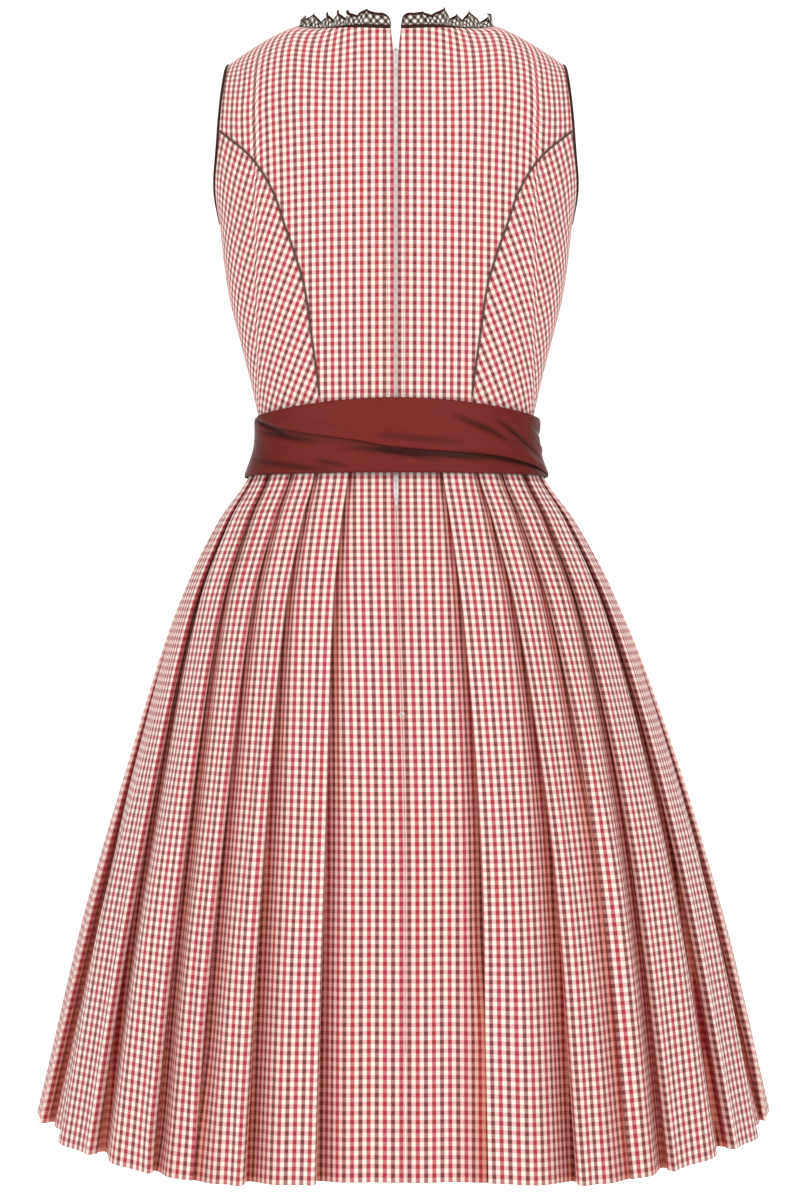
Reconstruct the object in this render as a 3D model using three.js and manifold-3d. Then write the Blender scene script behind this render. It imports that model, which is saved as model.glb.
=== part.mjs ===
// A sleeveless dirndl dress: a fitted bodice of seven panels with piped princess seams, a knife-pleated
// skirt in three widths, a sash wound round the waist, a gathered ruffle at the neck and a hidden zip
// down the centre back. It hangs from the shoulders, filled out as worn, and is open at neck, arms and hem.
//
// Millimetres. z = 0 is at the top of the shoulders, +Y is the wearer's back, +X the wearer's left.
import Module from 'manifold-3d';
import * as THREE from 'three';
import { mergeVertices } from 'three/addons/utils/BufferGeometryUtils.js';

// ---------------------------------------------------------------- driving sizes
const CLOTH = 1.4;              // wall of bodice and skirt, with its turned edges
const SASH_CLOTH = 1.2;
const SASH_LAYER_GAP = 0.8;
const SEAM_GAP = 0.3;           // between two pieces that are sewn together
const NECK_HALF = 95;           // centre back to the neck end of the shoulder seam
const SHOULDER_HALF = 161;      // centre back to the tip of the shoulder
const NECK_BACK_Z = 1;
const NECK_SIDE_Z = 14;
const SHOULDER_DROP = 34;       // from the neck end of the shoulder seam to its tip
const NAPE_DEPTH = 72;          // how far the nape stands behind the shoulder line
const FRONT_NECK_DROP = 112;    // depth of the round front neckline
const UNDERARM_Z = -172;
const WAIST_Z = -390;           // seam between bodice and skirt
const HEM_Z = -1027;
const ZIP_TOP_Z = -21;
const ZIP_END_Z = -628;
const PRINCESS_TOP_Z = -92;     // where the princess seam leaves the armhole

// The filled-out form of the bodice, down to the waist seam.
const FORM = [
  { z: 20, half: 180, back: 100, front: 84 },
  { z: -20, half: 183, back: 108, front: 92 },
  { z: -53, half: 183.5, back: 114, front: 100 },
  { z: -91, half: 183.5, back: 118, front: 108 },
  { z: -130, half: 179.2, back: 118, front: 119 },
  { z: -168, half: 170.81, back: 115, front: 129 },
  { z: -207, half: 166.5, back: 110, front: 135 },
  { z: -246, half: 160.5, back: 104, front: 134 },
  { z: -284, half: 151, back: 97, front: 121 },
  { z: -323, half: 141, back: 91, front: 106 },
  { z: -346, half: 135.8, back: 88.8, front: 99.5 },
  { z: -361, half: 132.6, back: 87.4, front: 96.4 },
  { z: -390, half: 131.6, back: 88, front: 95 },
];

// The form of the skirt below it, measured at the middle of its wall.
const SKIRT_FORM = [
  { z: -390, half: 130.9, back: 87.3, front: 94.3, round: 0.85 },
  { z: -418, half: 139.5, back: 96, front: 102, round: 0.86 },
  { z: -460, half: 168, back: 121, front: 124, round: 0.9 },
  { z: -540, half: 208, back: 166, front: 167, round: 0.96 },
  { z: -660, half: 249, back: 210, front: 210, round: 1 },
  { z: -820, half: 294, back: 253, front: 253, round: 1 },
  { z: HEM_Z, half: 343, back: 300, front: 300, round: 1 },
];

// Half width of the panels at the armhole, from the shoulder tip down.
const ARM_EDGE = [
  { z: -20, back: 161, front: 161 },
  { z: -53, back: 164.2, front: 155 },
  { z: -91, back: 167.3, front: 152 },
  { z: -130, back: 169.8, front: 158.5 },
  { z: -158, back: 170.3, front: 169 },
  { z: UNDERARM_Z, back: 170.2, front: 170.2 },
];

// Princess seams, from the waist up to the armhole.
const PRINCESS = [
  { z: WAIST_Z, back: 68, front: 64 },
  { z: -346, back: 71, front: 68 },
  { z: -285, back: 79, front: 80 },
  { z: -244, back: 85, front: 88 },
  { z: -216, back: 93, front: 95 },
  { z: -185, back: 104, front: 104 },
  { z: -154, back: 115, front: 115 },
  { z: -122, back: 135.5, front: 131 },
  { z: PRINCESS_TOP_Z, back: 167.4, front: 152 },
];

// Half of the opening between the two folded back edges, over the zip.
const ZIP_GAP = [
  { z: NECK_BACK_Z, half: 4.8 },
  { z: ZIP_TOP_Z, half: 2.6 },
  { z: -60, half: 1.9 },
  { z: -346, half: 1.4 },
  { z: WAIST_Z, half: 1.4 },
  { z: -418, half: 2.4 },
  { z: -455, half: SEAM_GAP / 2 },
];

// Knife pleats of each half, from centre back to centre front. Every folded edge looks to the centre
// back. Columns are shares of the half ring: at the waist seam, and at the hem on the left and right.
const PLEATS = [
  { waist: 0.137, left: 0.075, right: 0.070 },
  { waist: 0.235, left: 0.138, right: 0.148 },
  { waist: 0.31, left: 0.189, right: 0.201 },
  { waist: 0.403, left: 0.232, right: 0.243 },
  { waist: 0.485, left: 0.306, right: 0.328 },
  { waist: 0.56, left: 0.440, right: 0.450 },
  { waist: 0.64, left: 0.552, right: 0.560 },
  { waist: 0.72, left: 0.664, right: 0.668 },
  { waist: 0.8, left: 0.772, right: 0.774 },
  { waist: 0.878, left: 0.880, right: 0.880 },
];
const SEAM_PLEAT = 5;           // the side seam lies inside this pleat
const PLEAT_WAIST = { step: 2.4, tuck: 13, lead: 7 };
const PLEAT_HEM = { step: 8.5, tuck: 3, lead: 26 };
const SKIRT_ROWS = SKIRT_FORM.map((row) => row.z);

// The inner face of the sash, clear of the bodice above the waist seam and of the pleats below it.
const SASH_FORM = [
  { z: -346, half: 137.2, back: 91, front: 101.4 },
  { z: -361, half: 136, back: 91.2, front: 99.8 },
  { z: -390, half: 136.6, back: 93.2, front: 100.4 },
  { z: -418, half: 145.6, back: 102.6, front: 108.6 },
];

// Lower edge of the sash's outer turn, from its point on the left, over the back and round the right.
const SASH_TOP = { mid: -354, swing: 7 };
const SASH_LOW_Z = -417;
const SASH_TURN = [
  { angle: 75, low: -365 },
  { angle: 58, low: -371 },
  { angle: 38, low: -379 },
  { angle: 17, low: -386 },
  { angle: 0, low: -393 },
  { angle: -22, low: -397 },
  { angle: -45, low: -401 },
  { angle: -66, low: -408 },
  { angle: -84, low: -415 },
  { angle: -110, low: -416.5 },
  { angle: -135, low: -416.5 },
  { angle: -158, low: -416.5 },
  { angle: -180, low: -416.5 },
];
const SASH_STEPS = 48;

const PIPING_RADIUS = 1.1;
const BINDING = { wide: 3.4, thick: 2.2 };
const RUFFLE = { high: 9.5, thick: 1, wave: 2.4, pleats: 20, steps: 4 };
const RUFFLE_EDGE = { wide: 1.6, thick: 2 };
const TAPE = { half: 12, thick: 1, clear: 1.6 };
const SLIDER = {
  wide: 5.4, thick: 2.2, high: 9, drop: 1.4, bridge: 1.2, bridgeWide: 2, reach: 2.9, crown: 2.8, crownOut: 4,
};
const PULL = { wide: 5.6, thick: 1.1, bar: 1.5, window: 7.2, slot: 3.2, high: 20 };

// ---------------------------------------------------------------- small tools
const DEGREE = Math.PI / 180;
const mix = (a, b, t) => a + (b - a) * t;
const clamp01 = (t) => Math.min(1, Math.max(0, t));

// A smooth curve through one column of a table, read at any value of the key.
function column(table, key, name) {
  const rows = [...table].sort((p, q) => p[key] - q[key]);
  const slope = (i) => {
    const lo = rows[Math.max(0, i - 1)], hi = rows[Math.min(rows.length - 1, i + 1)];
    return (hi[name] - lo[name]) / (hi[key] - lo[key]);
  };
  return (at) => {
    if (at <= rows[0][key]) return rows[0][name];
    if (at >= rows[rows.length - 1][key]) return rows[rows.length - 1][name];
    let i = 0;
    while (rows[i + 1][key] < at) i += 1;
    const run = rows[i + 1][key] - rows[i][key];
    const t = (at - rows[i][key]) / run;
    const a = rows[i][name], b = rows[i + 1][name];
    return a * (1 + 2 * t) * (1 - t) ** 2 + b * (3 - 2 * t) * t * t
      + run * (slope(i) * t * (1 - t) ** 2 - slope(i + 1) * t * t * (1 - t));
  };
}

// A closed wall between an outer and an inner net of points, given as rows of THREE.Vector3.
function wall(outer, inner, ring = false) {
  const rows = outer.length, cols = outer[0].length;
  const points = [...outer.flat(), ...inner.flat()];
  const faces = [];
  const at = (side, r, c) => side * rows * cols + r * cols + (c % cols);
  const quad = (a, b, c, d) => faces.push(a, b, c, a, c, d);
  const spans = ring ? cols : cols - 1;
  for (let r = 0; r < rows - 1; r += 1) {
    for (let c = 0; c < spans; c += 1) {
      quad(at(0, r, c), at(0, r, c + 1), at(0, r + 1, c + 1), at(0, r + 1, c));
      quad(at(1, r, c), at(1, r + 1, c), at(1, r + 1, c + 1), at(1, r, c + 1));
    }
    if (!ring) {
      quad(at(0, r, 0), at(0, r + 1, 0), at(1, r + 1, 0), at(1, r, 0));
      quad(at(0, r, cols - 1), at(1, r, cols - 1), at(1, r + 1, cols - 1), at(0, r + 1, cols - 1));
    }
  }
  for (let c = 0; c < spans; c += 1) {
    quad(at(0, 0, c), at(1, 0, c), at(1, 0, c + 1), at(0, 0, c + 1));
    quad(at(0, rows - 1, c), at(0, rows - 1, c + 1), at(1, rows - 1, c + 1), at(1, rows - 1, c));
  }
  return solid(points, faces);
}

// A strip or cord of a small closed section, carried along a path with a given side and up direction.
function strip(path, section, ring = false) {
  const faces = [];
  const n = section.length;
  const points = path.flatMap(({ at, side, up }) => section.map(([s, u]) => (
    at.clone().addScaledVector(side, s).addScaledVector(up, u))));
  const spans = ring ? path.length : path.length - 1;
  for (let i = 0; i < spans; i += 1) {
    for (let k = 0; k < n; k += 1) {
      const a = i * n + k, b = i * n + ((k + 1) % n);
      const c = ((i + 1) % path.length) * n + ((k + 1) % n), d = ((i + 1) % path.length) * n + k;
      faces.push(a, b, c, a, c, d);
    }
  }
  if (!ring) {
    const last = (path.length - 1) * n;
    for (let k = 1; k < n - 1; k += 1) {
      faces.push(0, k + 1, k, last, last + k, last + k + 1);
    }
  }
  return solid(points, faces);
}

// An indexed geometry whose faces look outwards.
function solid(points, faces) {
  let volume = 0;
  for (let i = 0; i < faces.length; i += 3) {
    const [a, b, c] = [points[faces[i]], points[faces[i + 1]], points[faces[i + 2]]];
    volume += a.dot(b.clone().cross(c));
  }
  const turned = volume < 0 ? faces.slice().reverse() : faces;
  const geometry = new THREE.BufferGeometry();
  geometry.setAttribute('position', new THREE.Float32BufferAttribute(points.flatMap((p) => [p.x, p.y, p.z]), 3));
  geometry.setIndex(turned);
  return geometry;
}

const polygon = (sides, radius) => Array.from({ length: sides }, (_, k) => {
  const angle = (k + 0.5) * 2 * Math.PI / sides;
  return [radius * Math.cos(angle), radius * Math.sin(angle)];
});
const rectangle = (wide, thick) => [
  [-wide / 2, -thick / 2], [wide / 2, -thick / 2], [wide / 2, thick / 2], [-wide / 2, thick / 2],
];

// ---------------------------------------------------------------- the bodice's surface
const formHalf = column(FORM, 'z', 'half');
const formDepth = { back: column(FORM, 'z', 'back'), front: column(FORM, 'z', 'front') };
const BODY_ROUND = 0.85;        // below 1 the section is fuller than an ellipse
const NAPE_SPREAD = 72;         // how wide the nape's rise is
const SHOULDER_ROLL = 80;       // height over which the shoulder rounds off
const NAPE_ROLL = 150;

const napeShare = (x) => 1 / (1 + (x / NAPE_SPREAD) ** 4);

// Height of the shoulder line, and of the back neckline inside it.
function topZ(x) {
  const out = Math.abs(x);
  if (out < NECK_HALF) return mix(NECK_BACK_Z, NECK_SIDE_Z, (out / NECK_HALF) ** 2);
  return NECK_SIDE_Z - SHOULDER_DROP * ((out - NECK_HALF) / (SHOULDER_HALF - NECK_HALF)) ** 1.35;
}

// A point of the outer surface: x across, z up, on the back or the front of the body.
function bodyPoint(face, x, z) {
  const half = formHalf(z);
  const across = Math.min(Math.abs(x) / half, 1);
  const away = face === 'back' ? 1 : -1;
  const flat = away * formDepth[face](z) * Math.sqrt(1 - across * across) ** BODY_ROUND;
  const nape = napeShare(x);
  const fall = clamp01((topZ(x) - z) / mix(SHOULDER_ROLL, NAPE_ROLL, nape));
  const roll = mix(Math.sqrt(1 - (1 - fall) ** 2), Math.sin(fall * Math.PI / 2), nape);
  const ridge = NAPE_DEPTH * nape;
  return new THREE.Vector3(x, mix(ridge, flat, roll) + away * SEAM_GAP / 2, z);
}

// The same surface by turn (0 at the centre line, 90 degrees at the side) and height.
function turnPoint(face, side, turn, z) {
  return bodyPoint(face, side * formHalf(z) * Math.sin(turn), z);
}
const turnAt = (x, z) => Math.asin(Math.min(1, x / formHalf(z)));

function turnNormal(face, side, turn, z) {
  const d = 0.004, h = 0.6;
  const low = Math.max(turn - d, 0), high = Math.min(turn + d, Math.PI / 2);
  const across = turnPoint(face, side, high, z).sub(turnPoint(face, side, low, z));
  const up = turnPoint(face, side, turn, z).sub(turnPoint(face, side, turn, z - h));
  const normal = across.cross(up).normalize();
  const away = face === 'back' ? 1 : -1;
  return normal.multiplyScalar(Math.sign(normal.y * away * 10 + normal.x * side + normal.z) || 1);
}

// Boundaries of the panels, each a function of a share from 0 to 1 that gives [turn, z].
const princessHalf = { back: column(PRINCESS, 'z', 'back'), front: column(PRINCESS, 'z', 'front') };
const armHalf = { back: column(ARM_EDGE, 'z', 'back'), front: column(ARM_EDGE, 'z', 'front') };
const zipHalf = column(ZIP_GAP, 'z', 'half');
const SHOULDER_TIP_Z = topZ(SHOULDER_HALF);

const princessEdge = (face, inset) => (v) => {
  const z = mix(WAIST_Z, PRINCESS_TOP_Z, v);
  return [turnAt(princessHalf[face](z) + inset, z), z];
};
const armEdgeHigh = (face) => (v) => {
  const z = mix(PRINCESS_TOP_Z, SHOULDER_TIP_Z, v);
  return [turnAt(armHalf[face](z), z), z];
};
const armEdgeLow = (face) => (v) => {
  const z = mix(PRINCESS_TOP_Z, UNDERARM_Z, v);
  const turn = turnAt(armHalf[face](z), z);
  return [mix(turn, Math.PI / 2, v ** 3), z];
};
function frontNeckZ(x) {
  return NECK_SIDE_Z - FRONT_NECK_DROP * Math.sqrt(1 - Math.min(1, x / NECK_HALF) ** 2) ** 0.9;
}
const NECK_COLUMNS = 5;
const TOP_COLUMNS = 8;
const neckEnd = NECK_COLUMNS / TOP_COLUMNS;
const topEdge = (face, from) => (s) => {
  const x = s < neckEnd
    ? mix(from, NECK_HALF, Math.sin(s / neckEnd * Math.PI / 2))
    : mix(NECK_HALF, SHOULDER_HALF, (s - neckEnd) / (1 - neckEnd));
  const z = face === 'front' && x < NECK_HALF ? frontNeckZ(x) : topZ(x);
  return [turnAt(x, z), z];
};

// A four-sided patch between its bottom, top, inner and outer edges.
function patch(bottom, top, inner, outer) {
  return (s, v) => [0, 1].map((k) => {
    const ruled = mix(bottom(s)[k], top(s)[k], v) + mix(inner(v)[k], outer(v)[k], s);
    return ruled - mix(mix(bottom(0)[k], bottom(1)[k], s), mix(top(0)[k], top(1)[k], s), v);
  });
}

// Net of a panel: outer points and the inner ones a wall's thickness below them.
function panelNet(face, side, at, shares, rows) {
  const outer = [], inner = [];
  rows.forEach((v) => {
    const line = shares.map((s) => ({ side: s < 0 ? -side : side, turn: at(Math.abs(s), v) }));
    outer.push(line.map((p) => turnPoint(face, p.side, p.turn[0], p.turn[1])));
    inner.push(line.map((p, i) => outer[outer.length - 1][i].clone()
      .addScaledVector(turnNormal(face, p.side, p.turn[0], p.turn[1]), -CLOTH)));
  });
  return { outer, inner };
}

const steps = (count, power = 1) => Array.from({ length: count + 1 }, (_, i) => 1 - (1 - i / count) ** power);
const SEAM_ROWS = steps(8, 1.35);   // the panels on both sides of a seam have the same rows along it
const ARM_ROWS = steps(4, 1.8);
const ARM_COLUMNS = steps(5);
const PRINCESS_SHARE = 0.72;    // of the outer edge's rows lie below the armhole
const CENTRE_ROWS = [
  ...SEAM_ROWS.slice(0, -1).map((v) => v * PRINCESS_SHARE),
  ...ARM_ROWS.map((v) => mix(PRINCESS_SHARE, 1, v)),
];

// Centre panels: from the centre line to the princess seam and the armhole, up to the shoulder.
function centrePatch(face, from, top) {
  const princess = princessEdge(face, -SEAM_GAP / 2), arm = armEdgeHigh(face);
  const outer = (v) => (v < PRINCESS_SHARE
    ? princess(v / PRINCESS_SHARE) : arm((v - PRINCESS_SHARE) / (1 - PRINCESS_SHARE)));
  const centre = (v) => {
    const z = mix(WAIST_Z + SEAM_GAP / 2, top(0)[1], v);
    return [turnAt(from(z), z), z];
  };
  const edge = outer(0)[0], start = centre(0)[0];
  const bottom = (s) => [mix(start, edge, s), WAIST_Z + SEAM_GAP / 2];
  const fixedOuter = (v) => [outer(v)[0], Math.max(outer(v)[1], WAIST_Z + SEAM_GAP / 2)];
  return patch(bottom, top, centre, fixedOuter);
}
function sidePatch(face) {
  const inner = princessEdge(face, SEAM_GAP / 2), top = armEdgeLow(face);
  const low = WAIST_Z + SEAM_GAP / 2;
  const fixedInner = (v) => [inner(v)[0], Math.max(inner(v)[1], low)];
  return patch((s) => [mix(inner(0)[0], Math.PI / 2, s), low], top, fixedInner,
    (v) => [Math.PI / 2, mix(low, UNDERARM_Z, v)]);
}

function backPanel(side) {
  const at = centrePatch('back', zipHalf, topEdge('back', zipHalf(NECK_BACK_Z)));
  const net = panelNet('back', side, at, steps(TOP_COLUMNS), CENTRE_ROWS);
  return wall(net.outer, net.inner);
}
function frontPanel() {
  const at = centrePatch('front', () => 0, topEdge('front', 0));
  const half = steps(TOP_COLUMNS);
  const shares = [...half.slice(1).map((s) => -s).reverse(), ...half];
  const net = panelNet('front', 1, at, shares, CENTRE_ROWS);
  return wall(net.outer, net.inner);
}
function sidePanel(face, side) {
  const net = panelNet(face, side, sidePatch(face), ARM_COLUMNS, SEAM_ROWS);
  return wall(net.outer, net.inner);
}

// ---------------------------------------------------------------- edges of the bodice
// A rail beside an open edge: it lies in the cloth's own surface, just past the edge, towards a centre.
function railBeside(points, normals, centres, distance, ring) {
  return points.map((at, i) => {
    const last = points.length - 1;
    const before = points[ring ? (i + last) % points.length : Math.max(0, i - 1)];
    const after = points[ring ? (i + 1) % points.length : Math.min(last, i + 1)];
    const along = after.clone().sub(before).normalize();
    const side = along.clone().cross(normals[i]).normalize();
    if (side.dot(centres[i].clone().sub(at)) < 0) side.negate();
    const up = normals[i].clone();
    return { at: at.clone().addScaledVector(side, distance).addScaledVector(up, -CLOTH / 2), side, up };
  });
}

const EDGE_GAP = 1.1;           // a little over the seam gap, because the edge turns

function armholeLoop(side) {
  const points = [], normals = [], centres = [];
  const add = (face, [turn, z]) => {
    points.push(turnPoint(face, side, turn, z));
    normals.push(turnNormal(face, side, turn, z));
    centres.push(new THREE.Vector3(side * 172, 0, -98));
  };
  const down = [...ARM_ROWS].reverse();
  down.forEach((v) => add('back', armEdgeHigh('back')(v)));
  ARM_COLUMNS.slice(1).forEach((v) => add('back', armEdgeLow('back')(v)));
  [...ARM_COLUMNS].slice(1, -1).reverse().forEach((v) => add('front', armEdgeLow('front')(v)));
  ARM_ROWS.slice(0, -1).forEach((v) => add('front', armEdgeHigh('front')(v)));
  return railBeside(points, normals, centres, EDGE_GAP + BINDING.wide / 2, true);
}

// Neckline from the right of the zip, round the front, to the left of it.
function neckLine() {
  const marks = [];
  const from = zipHalf(NECK_BACK_Z);
  const turns = steps(NECK_COLUMNS).map((t) => Math.sin(t * Math.PI / 2));
  turns.forEach((t) => marks.push({ face: 'back', x: mix(from, NECK_HALF, t) }));
  turns.slice(0, -1).reverse().forEach((t) => marks.push({ face: 'front', x: NECK_HALF * t }));
  const right = marks.map((m) => ({ ...m, side: -1 }));
  const left = marks.slice(0, -1).reverse().map((m) => ({ ...m, side: 1 }));
  return [...right, ...left].map(({ face, x, side }) => {
    const z = face === 'back' ? topZ(x) : frontNeckZ(x);
    const turn = turnAt(x, z);
    return { at: turnPoint(face, side, turn, z), normal: turnNormal(face, side, turn, z) };
  });
}

function neckRail(distance) {
  const line = neckLine();
  const centre = new THREE.Vector3(0, 6, 70);
  return railBeside(line.map((p) => p.at), line.map((p) => p.normal), line.map(() => centre), distance, false);
}

// Evenly spaced places on a rail, with their side and up directions.
function spread(rail, count) {
  const lengths = [0];
  rail.slice(1).forEach((p, i) => lengths.push(lengths[i] + p.at.distanceTo(rail[i].at)));
  const total = lengths[lengths.length - 1];
  return Array.from({ length: count + 1 }, (_, k) => {
    const want = total * k / count;
    let i = 0;
    while (i < rail.length - 2 && lengths[i + 1] < want) i += 1;
    const t = (want - lengths[i]) / (lengths[i + 1] - lengths[i]);
    return {
      at: rail[i].at.clone().lerp(rail[i + 1].at, t),
      side: rail[i].side.clone().lerp(rail[i + 1].side, t).normalize(),
      up: rail[i].up.clone().lerp(rail[i + 1].up, t).normalize(),
    };
  });
}

// The gathered ruffle stands on the binding and leans a little outwards, in and out in soft waves.
function ruffleRails() {
  const base = spread(neckRail(EDGE_GAP + BINDING.wide + EDGE_GAP), RUFFLE.pleats * RUFFLE.steps);
  const wave = (k) => Math.sin(k * 2 * Math.PI / RUFFLE.steps + 0.4);
  const foot = base.map((p) => p.at.clone());
  const head = base.map((p, k) => p.at.clone().addScaledVector(p.side, RUFFLE.high)
    .addScaledVector(p.up, RUFFLE.wave * wave(k)));
  return { base, foot, head };
}
function neckRuffle() {
  const { base, foot, head } = ruffleRails();
  const lift = (line, amount) => line.map((p, k) => p.clone().addScaledVector(base[k].up, amount));
  return wall([lift(foot, RUFFLE.thick / 2), lift(head, RUFFLE.thick / 2)],
    [lift(foot, -RUFFLE.thick / 2), lift(head, -RUFFLE.thick / 2)]);
}
function ruffleBinding() {
  const { base, head } = ruffleRails();
  const path = head.map((at, k) => ({
    at: at.clone().addScaledVector(base[k].side, SEAM_GAP + RUFFLE_EDGE.wide / 2),
    side: base[k].side,
    up: base[k].up,
  }));
  return strip(path, rectangle(RUFFLE_EDGE.wide, RUFFLE_EDGE.thick));
}

// Piping: a thin cord laid on each princess seam, down to the sash.
const PIPING_LOW_SHARE = (-344 - WAIST_Z) / (PRINCESS_TOP_Z - WAIST_Z);
function piping(face, side) {
  const path = [PIPING_LOW_SHARE, ...SEAM_ROWS.slice(2, -1), 0.995].map((v) => {
    const z = mix(WAIST_Z, PRINCESS_TOP_Z, v);
    const turn = turnAt(princessHalf[face](z), z);
    const up = turnNormal(face, side, turn, z);
    const at = turnPoint(face, side, turn, z).addScaledVector(up, EDGE_GAP + PIPING_RADIUS);
    return { at, up };
  });
  path.forEach((p, i) => {
    const along = path[Math.min(i + 1, path.length - 1)].at.clone().sub(path[Math.max(i - 1, 0)].at);
    p.side = along.cross(p.up).normalize();
  });
  return strip(path, polygon(5, PIPING_RADIUS));
}

// ---------------------------------------------------------------- the skirt
const skirtColumn = {
  half: column(SKIRT_FORM, 'z', 'half'),
  back: column(SKIRT_FORM, 'z', 'back'),
  front: column(SKIRT_FORM, 'z', 'front'),
  round: column(SKIRT_FORM, 'z', 'round'),
};
const ringAt = (z) => ({
  z,
  half: skirtColumn.half(z),
  back: skirtColumn.back(z),
  front: skirtColumn.front(z),
  round: skirtColumn.round(z),
});

// A place on a ring: the turn runs from 0 at the centre back to 180 degrees at the centre front.
function ringPlace(ring, turn) {
  const cos = Math.cos(turn);
  const depth = cos > 0 ? ring.back : ring.front;
  return [ring.half * Math.sin(turn), Math.sign(cos) * depth * Math.abs(cos) ** ring.round];
}
const RING_SAMPLES = 360;

// A ruler round half of a ring: it turns a length along the ring into a place and an outward direction.
function ringRuler(ring) {
  const places = Array.from({ length: RING_SAMPLES + 1 }, (_, i) => ringPlace(ring, Math.PI * i / RING_SAMPLES));
  const lengths = [0];
  places.slice(1).forEach((p, i) => (
    lengths.push(lengths[i] + Math.hypot(p[0] - places[i][0], p[1] - places[i][1]))));
  const total = lengths[RING_SAMPLES];
  const place = (length, out) => {
    const want = Math.min(Math.max(length, 0), total);
    let i = 0;
    while (i < RING_SAMPLES - 1 && lengths[i + 1] < want) i += 1;
    const t = (want - lengths[i]) / (lengths[i + 1] - lengths[i]);
    const [dx, dy] = [places[i + 1][0] - places[i][0], places[i + 1][1] - places[i][1]];
    const run = Math.hypot(dx, dy);
    const over = length - want;
    return [
      places[i][0] + dx * (t + over / run) - dy / run * out,
      places[i][1] + dy * (t + over / run) + dx / run * out,
    ];
  };
  return { total, place };
}

// The skirt hangs a little to the wearer's right, from below the hips.
const SWAY = { side: 8.5, fast: 1.6 };
function sway(z) {
  const t = clamp01(SWAY.fast * (WAIST_Z - z) / (WAIST_Z - HEM_Z));
  return -SWAY.side * t * t * (3 - 2 * t);
}

const PLEAT_SPOTS = 8;          // most places that one pleat has on the line
const PLEAT_SHADOW = 2.4;       // gap that shows beside a folded edge

// The section of the pleated cloth at one height, as lengths along the half ring and steps out from it.
function pleatLine(z, hand, from, to) {
  const { total } = ringRuler(ringAt(z));
  const down = (WAIST_Z - z) / (WAIST_Z - HEM_Z);
  const step = mix(PLEAT_WAIST.step, PLEAT_HEM.step, down);
  const tuck = mix(PLEAT_WAIST.tuck, PLEAT_HEM.tuck, down ** 0.8);
  const lead = mix(PLEAT_WAIST.lead, PLEAT_HEM.lead, down);
  const line = [];
  PLEATS.forEach((pleat, k) => {
    const edge = total * mix(pleat.waist, pleat[hand], down ** 0.35);
    const slack = 0.8 * step * (1 - down) ** 2;
    const spots = [
      [edge - lead, k === 0 ? 0 : slack],
      [edge - PLEAT_SHADOW, -step],
      ...(k === SEAM_PLEAT ? [[edge + tuck / 2, -step]] : []),
      [edge + tuck, -step],
      [edge + tuck, 0],
      [edge, 0],
      [edge, step],
      [edge + tuck + PLEAT_SHADOW, mix(step, slack, 0.2)],
    ];
    spots.forEach(([along, out], part) => line.push({ k, part, along, out }));
  });
  const rank = (p) => p.k * PLEAT_SPOTS + p.part;
  return { total, line: line.filter((p) => rank(p) >= from && rank(p) <= to) };
}

// Outer and inner sides of a line of cloth, kept at its thickness round every turn.
function thicken(flat, thickness) {
  const normal = (a, b) => {
    const run = Math.hypot(b[0] - a[0], b[1] - a[1]);
    return [(b[1] - a[1]) / run, -(b[0] - a[0]) / run];
  };
  return flat.map((p, i) => {
    const before = normal(flat[Math.max(0, i - 1)], flat[Math.max(1, i)]);
    const after = normal(flat[Math.min(flat.length - 2, i)], flat[Math.min(flat.length - 1, i + 1)]);
    const share = thickness / 2 / (1 + before[0] * after[0] + before[1] * after[1]);
    const shift = [(before[0] + after[0]) * share, (before[1] + after[1]) * share];
    return { one: [p[0] + shift[0], p[1] + shift[1]], two: [p[0] - shift[0], p[1] - shift[1]] };
  });
}

const SEAM_RANK = SEAM_PLEAT * PLEAT_SPOTS + 2;
function skirtHalfLine(z, hand, which) {
  const side = hand === 'left' ? 1 : -1;
  const { place, total } = ringRuler(ringAt(z));
  const range = which === 'back' ? [0, SEAM_RANK] : [SEAM_RANK, PLEATS.length * PLEAT_SPOTS];
  const { line } = pleatLine(z, hand, ...range);
  const marks = line.map((p) => ({ ...p }));
  if (which === 'back') {
    marks[marks.length - 1].along -= SEAM_GAP / 2;
    const start = Math.max(zipHalf(z), SEAM_GAP / 2);
    marks.unshift(...[0, 0.35, 0.7].map((t) => ({ along: mix(start, marks[0].along, t), out: 0 })));
  } else {
    marks[0].along += SEAM_GAP / 2;
    marks.push({ along: total, out: 0 });
  }
  return marks.map(({ along, out }) => {
    const [x, y] = place(along, out);
    return [side * x + sway(z), y];
  });
}

function skirtWall(lineAt) {
  const one = [], two = [];
  SKIRT_ROWS.forEach((z) => {
    const height = z === WAIST_Z ? z - SEAM_GAP / 2 : z;
    const sides = thicken(lineAt(z), CLOTH);
    one.push(sides.map((p) => new THREE.Vector3(p.one[0], p.one[1], height)));
    two.push(sides.map((p) => new THREE.Vector3(p.two[0], p.two[1], height)));
  });
  return wall(one, two);
}
const skirtBack = (hand) => skirtWall((z) => skirtHalfLine(z, hand, 'back'));
const skirtFront = () => skirtWall((z) => [
  ...skirtHalfLine(z, 'left', 'front'),
  ...skirtHalfLine(z, 'right', 'front').reverse().slice(1),
]);

// ---------------------------------------------------------------- the sash
const sashColumn = {
  half: column(SASH_FORM, 'z', 'half'),
  back: column(SASH_FORM, 'z', 'back'),
  front: column(SASH_FORM, 'z', 'front'),
};
const sashRing = (z) => ({
  z,
  half: sashColumn.half(z),
  back: sashColumn.back(z),
  front: sashColumn.front(z),
  round: BODY_ROUND,
});
const sashTopZ = (angle) => SASH_TOP.mid + SASH_TOP.swing * Math.cos(2 * angle);

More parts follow.
